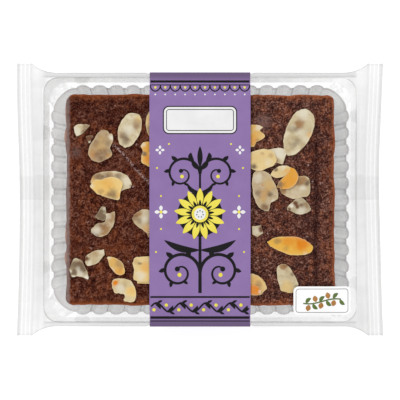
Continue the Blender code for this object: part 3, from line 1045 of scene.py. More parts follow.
def flake_sheet(sides, seed, lift=0.0, curl=0.0, thick=1.0, spots=(), tone=("toast", 0.0)):
    """One flake's lower side, upper side and tones: a ladder between its side lines, lifted and curled."""
    one, other = (smooth_line(side, FLAKE_ROWS) for side in sides)
    across = (1 - np.cos(np.linspace(0, np.pi, FLAKE_COLUMNS))) / 2
    pixels = one[:, None] + (other - one)[:, None] * across[None, :, None]
    level = SLAB_TOP + lift / 1000
    x, y = at_pixel(pixels[..., 0], pixels[..., 1], level)
    edge = np.abs(2 * across - 1)[None, :]
    x = x + FLAKE_RAGGED * lattice(x, y, 0.0016, seed) * edge**4
    y = y + FLAKE_RAGGED * lattice(x, y, 0.0016, seed + 1) * edge**4
    along = np.linspace(-1, 1, FLAKE_ROWS)[:, None]
    cupped = curl / 1000 * (0.6 * edge**2 + 0.4 * along**2)
    sway = 0.00025 * lattice(x, y, 0.009, seed + 2) + 0.00006 * lattice(x, y, 0.0022, seed + 3)
    body = FLAKE_THICKNESS * thick
    upper = level + FLAKE_GAP + body + cupped + sway
    upper = np.minimum(upper, top_height(x, y) - FLAKE_CLEARANCE)
    lower = upper - body * (1 - 0.35 * edge**6)
    tones = {kind: np.zeros(x.shape) for kind in TONES}
    tones[tone[0]] += tone[1]
    for kind, px, py, radius, strength in spots:
        away = np.hypot(pixels[..., 0] - px, pixels[..., 1] - py)
        ragged = 1 + 0.30 * lattice(x, y, 0.0025, seed + 4) + 0.18 * lattice(x, y, 0.0009, seed + 5)
        tones[kind] += strength * blob(away * ragged - 0.3 * radius, 0.95 * radius)
    tones["rim"] = np.maximum(edge**10, np.abs(along) ** 40)
    return placed(x, y, lower), placed(x, y, upper), tones


# %% All flakes in one piece
points, faces, tones = [], [], []
for number, entry in enumerate(FLAKES.values()):
    lower, upper, shares = flake_sheet(seed=100 + 10 * number, **entry)
    body_points, body_faces = closed_sheet(lower, upper)
    faces.append(body_faces + number * len(body_points))
    points.append(body_points)
    tones.append(shares)
tones = {kind: np.clip([[shares[kind]] * 2 for shares in tones], 0, 1) for kind in tones[0]}
flakes = mesh_piece("almond_flakes", np.concatenate(points), np.concatenate(faces), **tones)

# %% [markdown]
# The flakes' finish lays eight tones over a mottled cream, by the shares that each point holds. Faint
# fibres run through all of them, and the broken rim is a little paler.


# %% The flakes' finish
# Of these tones, shade is partly crust showing through a thin flake and partly painted shade where a flake
# curls or meets the crust, and pale is partly paler flesh and partly painted highlight.
ALMOND_TONES = {
    "butter": (240, 206, 134),
    "gold": (236, 182, 72),
    "toast": (232, 164, 58),
    "ember": (230, 134, 14),
    "tan": (166, 128, 86),
    "shade": (124, 102, 78),
    "skin": (112, 72, 46),
    "pale": (234, 226, 206),
}


def almond():
    """The flakes' material: cream with fibres, and each tone by its share."""
    finish = Finish("sliced almond", Roughness=0.48, Specular_IOR_Level=0.2)
    place = finish.place()
    fibres = finish.noise(420, 3.0, 0.6, place)
    cloud = finish.noise(150, 2.0, 0.5, place)
    colour = finish.mix(cloud.between(0.35, 0.65), screen_colour(206, 189, 150), screen_colour(226, 214, 182))
    colour = finish.mix(fibres.between(0.48, 0.70) * 0.5, colour, screen_colour(184, 154, 110))
    for kind, tone in ALMOND_TONES.items():
        share = finish.attribute(kind) * (cloud * 0.5 + fibres * 0.6 + 0.6)
        colour = finish.mix(share.clipped(), colour, screen_colour(*tone))
    colour = finish.mix(finish.attribute("rim") * 0.45, colour, screen_colour(240, 220, 182))
    normal = finish.bump(fibres + cloud, 0.35, 0.0004)
    return finish.end(Base_Color=colour, Normal=normal)


flakes.data.materials.append(almond())
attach(flakes, "root")

# %% [markdown]
# ## The fluted tray
#
# The tray is one thermoformed sheet of clear plastic: a lip, a flat flange, a rounded shoulder, a wall
# with flutes that stiffen it, and a floor. Every level of it is a rounded rectangle, so the shape is
# one outline formula carried down a profile. The flutes are half ellipses that push the straight sides
# outwards, and the samples round the outline are closest where a flute begins.

# %% One outline of the tray, at any size
FLUTE_PITCH = 0.0092
END_FLUTES = {"count": 11, "half": 0.0029, "depth": 0.0014}
SIDE_FLUTES = {"count": 15, "half": 0.0033, "depth": 0.0016}
FLUTE_SAMPLES = 13
CORNER_SAMPLES = 31
CORNER_CUT = 0.0007
RIM_CORNER = 0.0080
CAVITY_CORNER = 0.0119
FLOOR_CORNER = 0.0085
CORNER_MARK = 9


def side_places(count, half, reach):
    """Places along a straight side: an arc's worth over each flute, one in each gap, and the two ends."""
    swing = half * np.sin(np.linspace(-np.pi / 2, np.pi / 2, FLUTE_SAMPLES))
    centres = FLUTE_PITCH * (np.arange(count) - count // 2)
    places = np.concatenate([(centres[:, None] + swing).reshape(-1), centres[:-1] + FLUTE_PITCH / 2])
    return np.sort(np.concatenate([places, [-reach, reach]]))


def from_flute(places, count):
    """How far each place is from the middle of the nearest flute."""
    nearest = np.clip(np.round(places / FLUTE_PITCH), -(count // 2), count // 2)
    return places - nearest * FLUTE_PITCH


def outline_samples():
    """Round the tray: (centre share x, y), (outward x, y), bulge in metres, place in the flute.

    The place in the flute runs from -1 to 1 over it, with 1 on its side towards the tray's middle. Round
    the tray's corners it is the corner mark."""
    quarters = []
    turn = np.linspace(0, np.pi / 2, CORNER_SAMPLES)[1:-1]
    for quarter in range(4):
        flutes = END_FLUTES if quarter % 2 == 0 else SIDE_FLUTES
        reach = (CAVITY_HALF[1] if quarter % 2 == 0 else CAVITY_HALF[0]) - CAVITY_CORNER
        places = side_places(flutes["count"], flutes["half"], reach)
        inside = -np.sign(places) * from_flute(places, flutes["count"]) / flutes["half"]
        bulge = flutes["depth"] * np.sqrt(np.clip(1 - inside**2, 0, 1))
        one, zero = np.ones(len(places)), np.zeros(len(places))
        side = np.stack([one, places / reach, one, zero, bulge, inside], axis=-1)
        plain = np.ones(len(turn))
        cut = -CORNER_CUT * np.sin(2 * turn) ** 2
        corner = np.stack([plain, plain, np.cos(turn), np.sin(turn), cut, CORNER_MARK * plain], axis=-1)
        block = np.concatenate([side, corner])
        cos, sin = round(np.cos(quarter * np.pi / 2)), round(np.sin(quarter * np.pi / 2))
        x, y, facing_x, facing_y = block[:, :4].T
        turned = [cos * x - sin * y, sin * x + cos * y]
        turned += [cos * facing_x - sin * facing_y, sin * facing_x + cos * facing_y]
        quarters.append(np.concatenate([np.stack(turned, axis=-1), block[:, 4:]], axis=1))
    return np.concatenate(quarters)


SAMPLES = outline_samples()
print(len(SAMPLES), "samples round the tray")

# %% [markdown]
# The profile is a short table of stops: the row's number, how far in it lies (0 is the rim, 1 the
# cavity's edge, 2 the floor), its level, and how much of the flutes' depth it has. The lugs for nesting
# and the rings in the corners are small reliefs on the flange. Solidify gives the sheet its 0.35 mm.

# %% The tray from its profile
TRAY_THICKNESS = 0.00035
TRAY_RIM_HALF = (0.0864, 0.0676)
TRAY_OFF_MIDDLE = -0.0002
TRAY_STOPS = [
    (0, 0.00, TRAY_RIM - 0.0014, 0.0),
    (2, 0.00, TRAY_RIM - 0.0002, 0.0),
    (3, 0.04, TRAY_RIM, 0.0),
    (13, 0.62, TRAY_RIM, 0.0),
    (16, 0.86, TRAY_RIM - 0.0001, 0.45),
    (18, 0.96, TRAY_RIM - 0.0003, 0.9),
    (20, 1.00, TRAY_RIM - 0.0007, 1.0),
    (23, 1.06, TRAY_RIM - 0.0020, 1.0),
    (37, 1.92, TRAY_FLOOR + 0.0013, 0.9),
    (41, 2.06, TRAY_FLOOR, 0.45),
    (43, 2.20, TRAY_FLOOR, 0.0),
]
FLOOR_SHARES = (0.8, 0.5, 0.2, 0.03)
LUGS = ((44.5, 132.5, 7.5), (44.5, 267, 7), (82, 78.5, 8), (82, 320.5, 8), (355.5, 116, 7), (355.5, 283, 7))
LUG_EDGE = 1.5
LUG_DEPTH = 0.0005
CORNER_RINGS = ((60, 91.5), (340, 91.5), (60, 307.5), (340, 307.5))
RING_HALF = (4.2, 3.4)
RING_WIDTH = 0.35
RING_HEIGHT = 0.0003
# Painted highlights: at these spots the flange loses its veil, so the white floor shows through.
GLINTS = (
    (55.6, 97, 1.5), (48.8, 103.6, 1.5), (72.2, 83.7, 1.8), (61.8, 88.7, 1.6), (335.8, 89.1, 1.8),
    (344.3, 97.2, 1.5), (349.9, 113.8, 1.6), (349.7, 118.2, 1.5), (49, 134.5, 1.5), (52, 131, 1.2),
    (56, 303, 1.6), (49, 296.5, 1.5), (343.5, 302.5, 1.5), (350, 285, 1.5), (328, 84, 1.8), (90, 316, 1.6),
)


def tray_rows():
    """All rows of the tray as (x, y, z) grids: outline formula for each row, then shrinking floor rows."""
    stops = np.array(TRAY_STOPS)
    row = np.arange(stops[-1, 0] + 1)
    inwards, level, depth = (np.interp(row, stops[:, 0], stops[:, k])[:, None] for k in (1, 2, 3))
    rim, cavity = (*TRAY_RIM_HALF, RIM_CORNER), (*CAVITY_HALF, CAVITY_CORNER)
    sizes = np.array([rim, cavity, (*FLOOR_HALF, FLOOR_CORNER)])
    beyond = sizes[2] + (sizes[2] - sizes[1])
    table = np.concatenate([sizes, beyond[None]])
    half_x, half_y, corner = (np.interp(inwards, np.arange(4), table[:, k]) for k in range(3))
    x_share, y_share, facing_x, facing_y, bulge, _ = SAMPLES.T
    out = corner + depth * bulge
    x = x_share * (half_x - corner) + facing_x * out
    y = y_share * (half_y - corner) + facing_y * out
    z = level + 0 * x
    shrink = np.array(FLOOR_SHARES)[:, None]
    x = np.concatenate([x, x[-1] * shrink])
    y = np.concatenate([y, y[-1] * shrink]) + TRAY_OFF_MIDDLE
    z = np.concatenate([z, z[-1] + 0 * x[-len(FLOOR_SHARES):]])
    return x, y, z, np.concatenate([inwards[:, 0], np.full(len(FLOOR_SHARES), 3.0)])


def lug_share(px, py):
    """1 on a nesting lug of the flange, 0 off it."""
    shares = [eased((radius - np.hypot(px - at_x, py - at_y)) / LUG_EDGE) for at_x, at_y, radius in LUGS]
    return np.max(shares, axis=0)


def ring_share(px, py):
    """1 on the small raised oval of each corner of the flange."""
    half_x, half_y = RING_HALF
    away = [np.hypot((px - at_x) / half_x, (py - at_y) / half_y) for at_x, at_y in CORNER_RINGS]
    return blob(np.min(np.abs(np.array(away) - 1), axis=0), RING_WIDTH)


x, y, z, inwards = tray_rows()
px, py = to_pixel(x, y, TRAY_RIM)
on_flange = ((inwards > 0.03) & (inwards < 0.7))[:, None]
lugs = lug_share(px, py) * on_flange
rings = ring_share(px, py) * on_flange
z = z - LUG_DEPTH * lugs + RING_HEIGHT * rings
on_wall = eased((inwards - 0.98) / 0.06) * eased((2.2 - inwards) / 0.1)
in_flute = SAMPLES[:, 5]
flute_line = blob(np.abs(np.abs(in_flute) - 1), 0.25) * np.where(in_flute > 0, 1.0, 0.5)
flute_shade = np.clip(in_flute, -1, 1) * (np.abs(in_flute) < 1)
in_corner = 1.0 * (in_flute == CORNER_MARK)
print("tray", np.ptp(x), "by", np.ptp(y))

# %% [markdown]
# Clear plastic is seen by what it takes from the light behind it: much where the sheet stands steep or
# folds, little where it lies flat. Each point keeps that share, called veil, as a number. Shade is also
# painted by side, as the light falls: the walls on the right and on the far side take a little more than
# the other two, and the flange takes less at its right end and more on its far side. Where the veil is
# taken away the white floor shows through as a painted highlight: the bright strip at the cavity's
# shoulder, the glints on the flange and the corner rings.

# %% The tray's veil and mesh
VEIL_LEVELS = {
    "place": (0.0, 0.03, 0.10, 0.90, 0.955, 1.00, 1.05, 1.14, 1.35, 1.90, 2.05, 2.3, 3.0),
    "share": (0.28, 0.26, 0.02, 0.005, 0.03, 0.58, 0.50, 0.42, 0.38, 0.42, 0.40, 0.30, 0.25),
}
FLANGE_VEIL = 0.12
LIT_FLANGE_VEIL = 0.17
# Painted highlight: from here to the cavity's edge the flange keeps almost no veil, so its shoulder shows as
# a bright strip.
BRIGHT_STRIP_FROM = 0.63
BRIGHT_STRIP_WIDER = 0.10
# Painted shade by side: each wall's veil is scaled by its factor.
WALL_FACTORS = {"right": 1.20, "far": 1.15, "near": 0.98}
FLUTE_LINE_VEIL, FLUTE_SHADE_VEIL = 0.20, 0.05
CORNER_STRIP_VEIL = 0.16
LUG_VEIL, RING_VEIL = 0.12, 0.08
TRAY_VEIL_LIMITS = (0.004, 0.9)


def side_factor(x, y):
    """How strong the walls' veil is by side, as painted shade: more on the right and far walls, less on the
    near one.
    """
    shares = {"right": x / RIM_HALF[0] - 0.86, "far": y / RIM_HALF[1] - 0.84, "near": -y / RIM_HALF[1] - 0.84}
    return 1 + sum((WALL_FACTORS[side] - 1) * eased(share / 0.08) for side, share in shares.items())


veil = np.interp(inwards, VEIL_LEVELS["place"], VEIL_LEVELS["share"])[:, None]
at_rim = (inwards < 0.1)[:, None]
veil = np.where(at_rim, veil * (1 - 0.35 * eased(x / RIM_HALF[0])), veil)
on_inside = (inwards > 0.93)[:, None]
veil = np.where(on_inside, veil * side_factor(x, y), veil)
# Painted shade by side: the flange's veil is less at its right end and more on its far side.
lit = eased((0.95 - x / RIM_HALF[0]) / 0.6)
facets = 0.5 * lattice(x, y, 0.0042, 62) + 0.5 * lattice(x, y, 0.0016, 63)
strip_from = BRIGHT_STRIP_FROM - BRIGHT_STRIP_WIDER * SAMPLES[:, 3] ** 2
outer_flange = on_flange * eased((strip_from[None, :] - inwards[:, None]) / 0.10)
veil = veil + outer_flange * (FLANGE_VEIL + LIT_FLANGE_VEIL * lit + 0.05 * facets + 0.06 * y / RIM_HALF[1])
corner_strip = in_corner[None, :] * ((inwards > 0.4) & (inwards < 0.95))[:, None] * (1 - outer_flange)
veil = veil + corner_strip * (CORNER_STRIP_VEIL + 0.05 * lit + 0.16 * facets)
veil = veil + on_wall[:, None] * (FLUTE_LINE_VEIL * flute_line + FLUTE_SHADE_VEIL * flute_shade)
# Painted highlights: the corner rings take less veil, and the glints and parts of the rings lose it all, so
# the white floor shows through.
veil = veil + LUG_VEIL * lugs - RING_VEIL * rings
veil = veil + 0.03 * lattice(x, y, 0.006, 61) * (veil > 0.1)
veil = veil * (1 - np.maximum(spots_share(px, py, GLINTS), rings * (facets > 0.0)))
numbers = grid_numbers(*x.shape)
tray_faces = [*quad_faces(numbers, around=True)[:, ::-1].tolist(), numbers[-1].tolist()]
tray = mesh_piece("fluted_tray", placed(x, y, z), tray_faces, veil=np.clip(veil, *TRAY_VEIL_LIMITS))
wall = tray.modifiers.new("sheet thickness", "SOLIDIFY")
wall.thickness = TRAY_THICKNESS
wall.offset = -1

# %% [markdown]
# A ray to the floor crosses both skins of the sheet, so each skin takes one minus the square root of
# what is left over. The finish's own colour is a dark neutral, which stands for the light that the
# plastic bends away, with a hard gloss on top.


# %% The tray's finish
def clear_plastic(name, skins, dark, pale, roughness, gloss):
    """Clear plastic: alpha from the mesh's veil, spread over that many skins, with faint cloudiness."""
    finish = Finish(name, Roughness=roughness, Specular_IOR_Level=gloss)
    place = finish.place()
    cloud = finish.noise(160, 2.0, 0.5, place)
    veil = finish.attribute("veil") * (cloud * 0.16 + 0.92)
    alpha = 1 - (1 - veil).clipped() ** (1 / skins)
    colour = finish.mix(cloud, dark, pale)
    normal = finish.bump(finish.noise(240, 1.0, 0.4, place), 0.12, 0.0004)
    return finish.end(Base_Color=colour, Alpha=alpha.clipped(), Normal=normal)


TRAY_TONES = ((0.17, 0.155, 0.148, 1), (0.21, 0.197, 0.19, 1))
tray.data.materials.append(clear_plastic("clear tray", 2, *TRAY_TONES, roughness=0.12, gloss=0.6))
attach(tray, "root")

# %% [markdown]
# ## The film
#
# The wrap is one tube of thin film, pressed flat at both ends between ribbed jaws and joined along its
# underside in a fin. Its two height fields are known already, so the film is those two fields over one
# plan, on a finer grid than the solid has, with ribs in the seals and soft pull lines next to them.

# %% The film's plan
SEAL_ROWS = 30
SLOPE_ROWS = 26
BODY_ROWS = 66
HALF_COLUMNS = 72
COLUMN_SWING = 0.92
CREST_FROM_END = 0.0025
RIB_PITCH = 0.00225
RIGHT_BOW = 0.0008
RIGHT_BOW_AT = 0.016


def film_plan():
    """x and y grids: rows closest in the seals, columns closest at the long edges, which flare out."""
    body = np.linspace(0, FLARE_START, BODY_ROWS)
    sloping = np.linspace(FLARE_START, SEAL_START, SLOPE_ROWS)
    sealed = np.linspace(SEAL_START, HALF_LENGTH, SEAL_ROWS)
    half = np.concatenate([body, sloping[1:], sealed[1:]])
    rows = np.concatenate([-half[:0:-1], half])
    turn = np.linspace(-1, 1, 2 * HALF_COLUMNS + 1) * np.pi / 2 * COLUMN_SWING
    columns = np.sin(turn) / np.sin(turn[-1])
    fin_edges = np.array([-FIN_STEP, 0, FIN_WIDTH - FIN_STEP, FIN_WIDTH]) / BODY_HALF
    columns = np.sort(np.concatenate([columns, fin_edges]))
    x = rows[:, None] + 0 * columns[None, :]
    return x, columns[None, :] * half_width(x)


def bowed(x, y):
    """x as shown: the seals bow in at the middle, and the right one a little more."""
    share = eased(flare(x))
    bow = SEAL_BOW * (1 - (y / SEAL_HALF) ** 2) ** np.where((x < 0) & (y > 0), 3, 1)
    more = RIGHT_BOW * np.exp(-(((y - RIGHT_BOW_AT) / 0.03) ** 2)) * (x > 0)
    return x - np.sign(x) * share * (bow + more)


x, y = film_plan()
shown_x = bowed(x, y)
from_end = HALF_LENGTH - np.abs(x)
in_seal = eased((SEAL_DEPTH - from_end) / 0.0008)
ribs = np.cos(2 * np.pi * (from_end - CREST_FROM_END) / RIB_PITCH)
ribs = ribs * in_seal * eased((SEAL_DEPTH - 0.0009 - from_end) / 0.0006)
print("film grid", x.shape)

# %% [markdown]
# Pull lines run from the seal over the empty stretch to the tray's rim, and shallow waves lie where the
# film spans the flange. Over the slab the film is taut, so its ripples are a twentieth of a millimetre,
# and the whole upper side sinks by as much, which keeps them under the solid's face.

# %% The film's relief and veil
SLACK_FROM = 0.079
SINK = 0.00005
PULL_HEIGHT, BAR_HEIGHT, UNDER_PULL_HEIGHT = 0.00022, 0.00010, 0.00012
TAUT_HEIGHT, RIPPLE_HEIGHT = 0.00005, 0.00012
# Of these, the crest share is a painted highlight and the far side share painted shade.
FILM_VEILS = {
    "flat": 0.01, "seal": 0.23, "crest": 0.13, "slope": 0.24, "side": 0.30, "far side": 0.09,
    "end line": 0.24, "seal line": 0.06, "long line": 0.12, "seal side": 0.08, "rim": 0.16,
    "under": 0.025, "fin": 0.07,
}
FILM_VEIL_LIMITS = (0.004, 0.8)
slack = eased((np.abs(x) - SLACK_FROM) / 0.006) * eased((from_end - SEAL_DEPTH + 0.001) / 0.002)
pull = lattice(x * 0.25, y, 0.0050, 71) + 0.5 * lattice(x * 0.3, y, 0.0021, 72)
bars = lattice(x, y * 0.06, 0.0022, 73)
taut = TAUT_HEIGHT * lattice(x, y, 0.011, 74)
side_span = eased((np.abs(y) - 0.059) / 0.004) * (1 - slack)
ripple = RIPPLE_HEIGHT * lattice(x, y * 2.5, 0.013, 75) * side_span
inside_edge = eased((half_width(x) - np.abs(y)) / 0.0012)
relief = (PULL_HEIGHT * pull + BAR_HEIGHT * bars) * slack * inside_edge + taut + ripple * inside_edge
rib_relief = RIB_HEIGHT * ribs * inside_edge
fin = ((y > -FIN_STEP / 2) & (y < FIN_WIDTH)) * 1.0
under_relief = UNDER_PULL_HEIGHT * lattice(x * 0.3, y, 0.004, 76) * slack * inside_edge
upper = placed(shown_x, y, top_height(x, y) + rib_relief + relief - SINK)
lower = placed(shown_x, y, under_height(x, y) + rib_relief + under_relief - FIN_THICKNESS * fin)

end_line = blob(from_end, 0.0024)
long_line = 1 - eased((half_width(x) - np.abs(y)) / 0.0010)
seal_line = blob(np.abs(from_end - SEAL_DEPTH + 0.0003), 0.0007)
corner_x = np.maximum(np.abs(x) - RIM_HALF[0] + RIM_CORNER, 0)
corner_y = np.maximum(np.abs(y) - RIM_HALF[1] + RIM_CORNER, 0)
from_corner = np.hypot(corner_x, corner_y)
corner_turn = 2 * corner_x * corner_y / np.maximum(from_corner, 1e-6) ** 2
past_rim = eased((from_corner + CORNER_CUT * corner_turn**2 - RIM_CORNER - 0.0002) / 0.0006)
side_strip = eased((np.abs(y) - RIM_HALF[1] + 0.0005) / 0.0008)
side_strip = side_strip * eased((RIM_HALF[0] + 0.001 - np.abs(x)) / 0.002)
between = past_rim * (1 - side_strip) * (1 - in_seal)
over_slab = eased((SLAB_HALF[0] - np.abs(x)) / 0.002) * eased((SLAB_HALF[1] - np.abs(y)) / 0.002)
crest = np.clip(ribs, 0, 1) ** 2
seal_side = in_seal * (1 - eased((half_width(x) - np.abs(y)) / 0.0024))
rim_shade = blob(np.abs(np.abs(y) - RIM_HALF[1] - 0.0004), 0.0009) * (1 - between) * (1 - in_seal)
shares = FILM_VEILS
# Painted highlight: the seals' rib crests take less veil, so they show as bright lines.
upper_veil = shares["flat"] + (shares["seal"] + 0.02 * bars - shares["crest"] * crest) * in_seal
upper_veil = upper_veil + shares["slope"] * between * (1 + 0.20 * bars + 0.12 * pull)
# Painted shade by side: the strip along the far long edge takes more veil than the near one.
upper_veil = upper_veil + (shares["side"] + shares["far side"] * (y > 0)) * side_strip
upper_veil = upper_veil + shares["end line"] * end_line + shares["seal line"] * seal_line
upper_veil = upper_veil + shares["long line"] * (1 + between) * long_line * (1 - in_seal)
upper_veil = upper_veil + shares["seal side"] * seal_side + shares["rim"] * rim_shade
upper_veil = upper_veil * (1 - 0.6 * over_slab)
on_slope = eased((np.abs(x) - SLACK_FROM) / 0.002)
lower_veil = shares["flat"] + shares["under"] * past_rim + shares["fin"] * fin * on_slope
film_veil = np.clip([lower_veil, upper_veil], *FILM_VEIL_LIMITS)
film = mesh_piece("clear_film_wrap", *closed_sheet(lower, upper), veil=film_veil)
FILM_TONES = ((0.20, 0.20, 0.20, 1), (0.26, 0.26, 0.26, 1))
film.data.materials.append(clear_plastic("clear film", 1, *FILM_TONES, roughness=0.14, gloss=0.3))
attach(film, "root")
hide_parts("film_pack")

# %% [markdown]
# ## The printed band
#
# The band is a strip of coated paper that goes right round the pack, stretched over the film's waist.
# Its section is the film's own outline, moved outwards by the gap and again by the paper's thickness,
# and the same section is carried along the pack.


# %% The band's section and body
BAND_COLUMNS = 150
BAND_ROWS = 30
FOLD_SHADE = 0.0055


def band_section():
    """The film's outline in the waist, as (y, z) points in order round it, the fin bridged flat."""
    y = half_width(0.0) * np.sin(np.linspace(-1, 1, BAND_COLUMNS) * np.pi / 2)
    top = np.stack([y, top_height(0 * y, y)], axis=-1)
    under = np.stack([y, under_height(0 * y, y)], axis=-1)
    under[:, 1] = np.where(np.abs(y) < FILM_FLOOR_HALF[1] - 0.003, under[:, 1] - FIN_THICKNESS, under[:, 1])
    return np.concatenate([under, top[::-1]])


def grown(points, distance):
    """A closed outline moved outwards by a distance, with its corners mitred."""
    ahead = np.roll(points, -1, axis=0) - points
    ahead /= np.linalg.norm(ahead, axis=1, keepdims=True)
    facing = np.stack([ahead[:, 1], -ahead[:, 0]], axis=-1)
    before = np.roll(facing, 1, axis=0)
    shared = 1 + (facing * before).sum(axis=1, keepdims=True)
    return points + distance * (facing + before) / shared


section = band_section()
inner, outer = grown(section, BAND_GAP), grown(section, BAND_GAP + BAND_THICKNESS)
along = np.linspace(-BAND_REACH, BAND_REACH, BAND_ROWS)[:, None]
outer_rows, inner_rows = (placed(along, ring[:, 0], ring[:, 1]) for ring in (outer, inner))
rows = np.concatenate([outer_rows, inner_rows[::-1]])
numbers = grid_numbers(*rows.shape[:2])
band_faces = quad_faces(np.concatenate([numbers, numbers[:1]]), around=True)
# Painted shade: the band is darker where it curves over the pack's long edges.
fold = eased((np.abs(rows[..., 1]) - half_width(0.0) + FOLD_SHADE) / (FOLD_SHADE - 0.0010))
band = mesh_piece("paper_band", rows, band_faces, fold=fold)
band.data.set_sharp_from_angle(angle=np.radians(40))
print("band", np.ptp(rows[..., 0]), np.ptp(rows[..., 1]), np.ptp(rows[..., 2]))


# %% The band's finish
def coated_paper(name, deep, light, roughness=0.38, gloss=0.35, fold_shade_tone=None):
    """Printed paper: two near tones, fine fibres, and painted shade where the mesh says it folds over."""
    finish = Finish(name, Roughness=roughness, Specular_IOR_Level=gloss)
    place = finish.place()
    cloud = finish.noise(90, 3.0, 0.6, place)
    fibre = finish.noise(2200, 2.0, 0.6, place)
    colour = finish.mix((cloud * 0.7 + fibre * 0.3).between(0.3, 0.7), deep, light)
    if fold_shade_tone:
        colour = finish.mix(finish.attribute("fold"), colour, fold_shade_tone)
    return finish.end(Base_Color=colour, Normal=finish.bump(fibre, 0.08, 0.0002))


PURPLE = (screen_colour(143, 113, 171), screen_colour(149, 120, 177))
band.data.materials.append(coated_paper("purple paper", *PURPLE, fold_shade_tone=screen_colour(108, 86, 126)))
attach(band, "root")
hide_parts("printed_band")

# %% [markdown]
# ## The print on the band
#
# The print is a plain folk design in black, yellow and white: a plant of mirrored scrolls with one
# large flower, an empty plaque above it, a scalloped border at the top and a running vine at the foot.
# Every mark is a strip of ink: a centre line with a width that changes along it, so a stem, a leaf, a
# petal and a dot are all the same function. Strips of one colour are joined in one mesh, a twentieth of
# a millimetre up.

# %% Ink strips
INK_LIFT = 0.00005
INK_STEP = 4e-7
INK_GLOSS = 0.08
SMALLEST_INK = 1e-10
band_top = outer[outer[:, 1] > EDGE_LEVEL + 0.0002]
band_top = band_top[np.argsort(band_top[:, 0])]
BAND_FACE = float(band_top[:, 1].max())


def band_height(x, y):
    """The band's upper side."""
    return np.interp(y, band_top[:, 0], band_top[:, 1])


class Ink:
    """Strips of one colour on a printed face. Each is a centre line in the photograph's pixels."""

    def __init__(self, name, *colours, height=band_height, level=BAND_FACE, slot="band_paper", columns=5):
        self.name = name
        self.colours = colours
        self.height = height
        self.level = level
        self.slot = slot
        self.columns = columns
        self.points = []
        self.faces = []
        self.first = 0

    def strip(self, line, half, lift=1.0):
        """Adds a strip: the line is (n, 2) pixels, half is its half width in pixels at each point."""
        line = np.asarray(line, dtype=float)
        ahead = np.gradient(line, axis=0)
        ahead /= np.maximum(np.linalg.norm(ahead, axis=1, keepdims=True), 1e-9)
        aside = np.stack([-ahead[:, 1], ahead[:, 0]], axis=-1) * np.broadcast_to(half, len(line))[:, None]
        share = np.linspace(-1, 1, self.columns)[None, :, None]
        pixels = line[:, None] + aside[:, None] * share
        x, y = at_pixel(pixels[..., 0], pixels[..., 1], self.level)
        z = self.height(x, y) + lift * INK_LIFT + len(self.points) * INK_STEP
        self.points.append(placed(x, y, z).reshape(-1, 3))
        self.faces.append(quad_faces(grid_numbers(*x.shape, first=self.first))[:, ::-1])
        self.first += x.size

    def leaf(self, foot, tip, width, bend=0.0, lift=1.0):
        """Adds a pointed leaf from foot to tip: its half width follows a sine, its middle bends aside."""
        t = np.linspace(0, 1, 18)[:, None]
        foot, tip = np.array(foot, dtype=float), np.array(tip, dtype=float)
        aside = np.array([-(tip - foot)[1], (tip - foot)[0]])
        line = foot + (tip - foot) * t + aside * bend * np.sin(np.pi * t)
        self.strip(line, width * np.sin(np.pi * t[:, 0]) ** 0.8, lift)

    def dot(self, px, py, radius, lift=1.0):
        """Adds a round dot: chords of a circle."""
        turn = np.linspace(-np.pi / 2, np.pi / 2, 14)
        line = np.stack([px + radius * np.sin(turn), py + 0 * turn], axis=-1)
        self.strip(line, radius * np.cos(turn), lift)

    def plate(self, px, py, half_width, half_height, corner, lift=1.0):
        """Adds a filled rectangle: a level strip whose half height follows the corners' arcs."""
        turn = np.linspace(0, np.pi / 2, 8)
        reach = half_width - corner * (1 - np.sin(turn))
        half = half_height - corner * (1 - np.cos(turn))
        flat = np.linspace(-1, 1, 24)[1:-1] * (half_width - corner)
        places = px + np.concatenate([-reach[::-1], flat, reach])
        half = np.concatenate([half[::-1], np.full(len(flat), half_height), half])
        self.strip(np.stack([places, py + 0 * places], axis=-1), half, lift)

    def finish(self):
        """Makes the one mesh of this ink."""
        points, faces = np.concatenate(self.points), np.concatenate(self.faces)
        diagonals = points[faces[:, 2]] - points[faces[:, 0]], points[faces[:, 3]] - points[faces[:, 1]]
        wide = np.linalg.norm(np.cross(*diagonals), axis=1) > SMALLEST_INK
        piece = mesh_piece(self.name, points, faces[wide])
        piece.data.materials.append(coated_paper(self.name.replace("_", " "), *self.colours, gloss=INK_GLOSS))
        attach(piece, "root")


black = Ink("black_ink", screen_colour(27, 26, 27), screen_colour(34, 32, 34))
yellow = Ink("yellow_ink", screen_colour(243, 226, 84), screen_colour(250, 236, 102))
white = Ink("white_ink", screen_colour(240, 239, 240), screen_colour(250, 249, 250))

# %% [markdown]
# A scroll is a spiral that leaves the stem upwards, turns over and winds in, with leaves on its outer
# side. Each one is drawn twice, mirrored in the band's middle.


# %% Scrolls and the flower
def scroll(way, out, level, radius, turns, half, leaf_length):
    """A scroll on one side of the middle. Its radius shrinks evenly as its angle turns over."""
    t = np.linspace(0, 1, 90)
    turn = np.pi - 2 * np.pi * turns * t
    reach = radius * (1 - 0.82 * t)
    centre = np.array([MIDDLE[0] + way * out, level])
    line = centre + np.stack([way * reach * np.cos(turn), -reach * np.sin(turn)], axis=-1)
    black.strip(line, half * (1 - 0.55 * t))
    black.dot(*line[-1], 1.5 * half)
    ahead = np.gradient(line, axis=0)
    ahead /= np.linalg.norm(ahead, axis=1, keepdims=True)
    for number, k in enumerate((10, 20, 30, 41, 53)):
        outwards = (line[k] - centre) / np.linalg.norm(line[k] - centre)
        size = leaf_length * (1 - 0.11 * number)
        black.leaf(line[k], line[k] + size * (0.72 * outwards + 0.62 * ahead[k]), 0.24 * size, 0.12 * way)
    yellow.dot(*(centre + np.array([0.0, 0.14]) * radius), 0.09 * radius + 0.2)


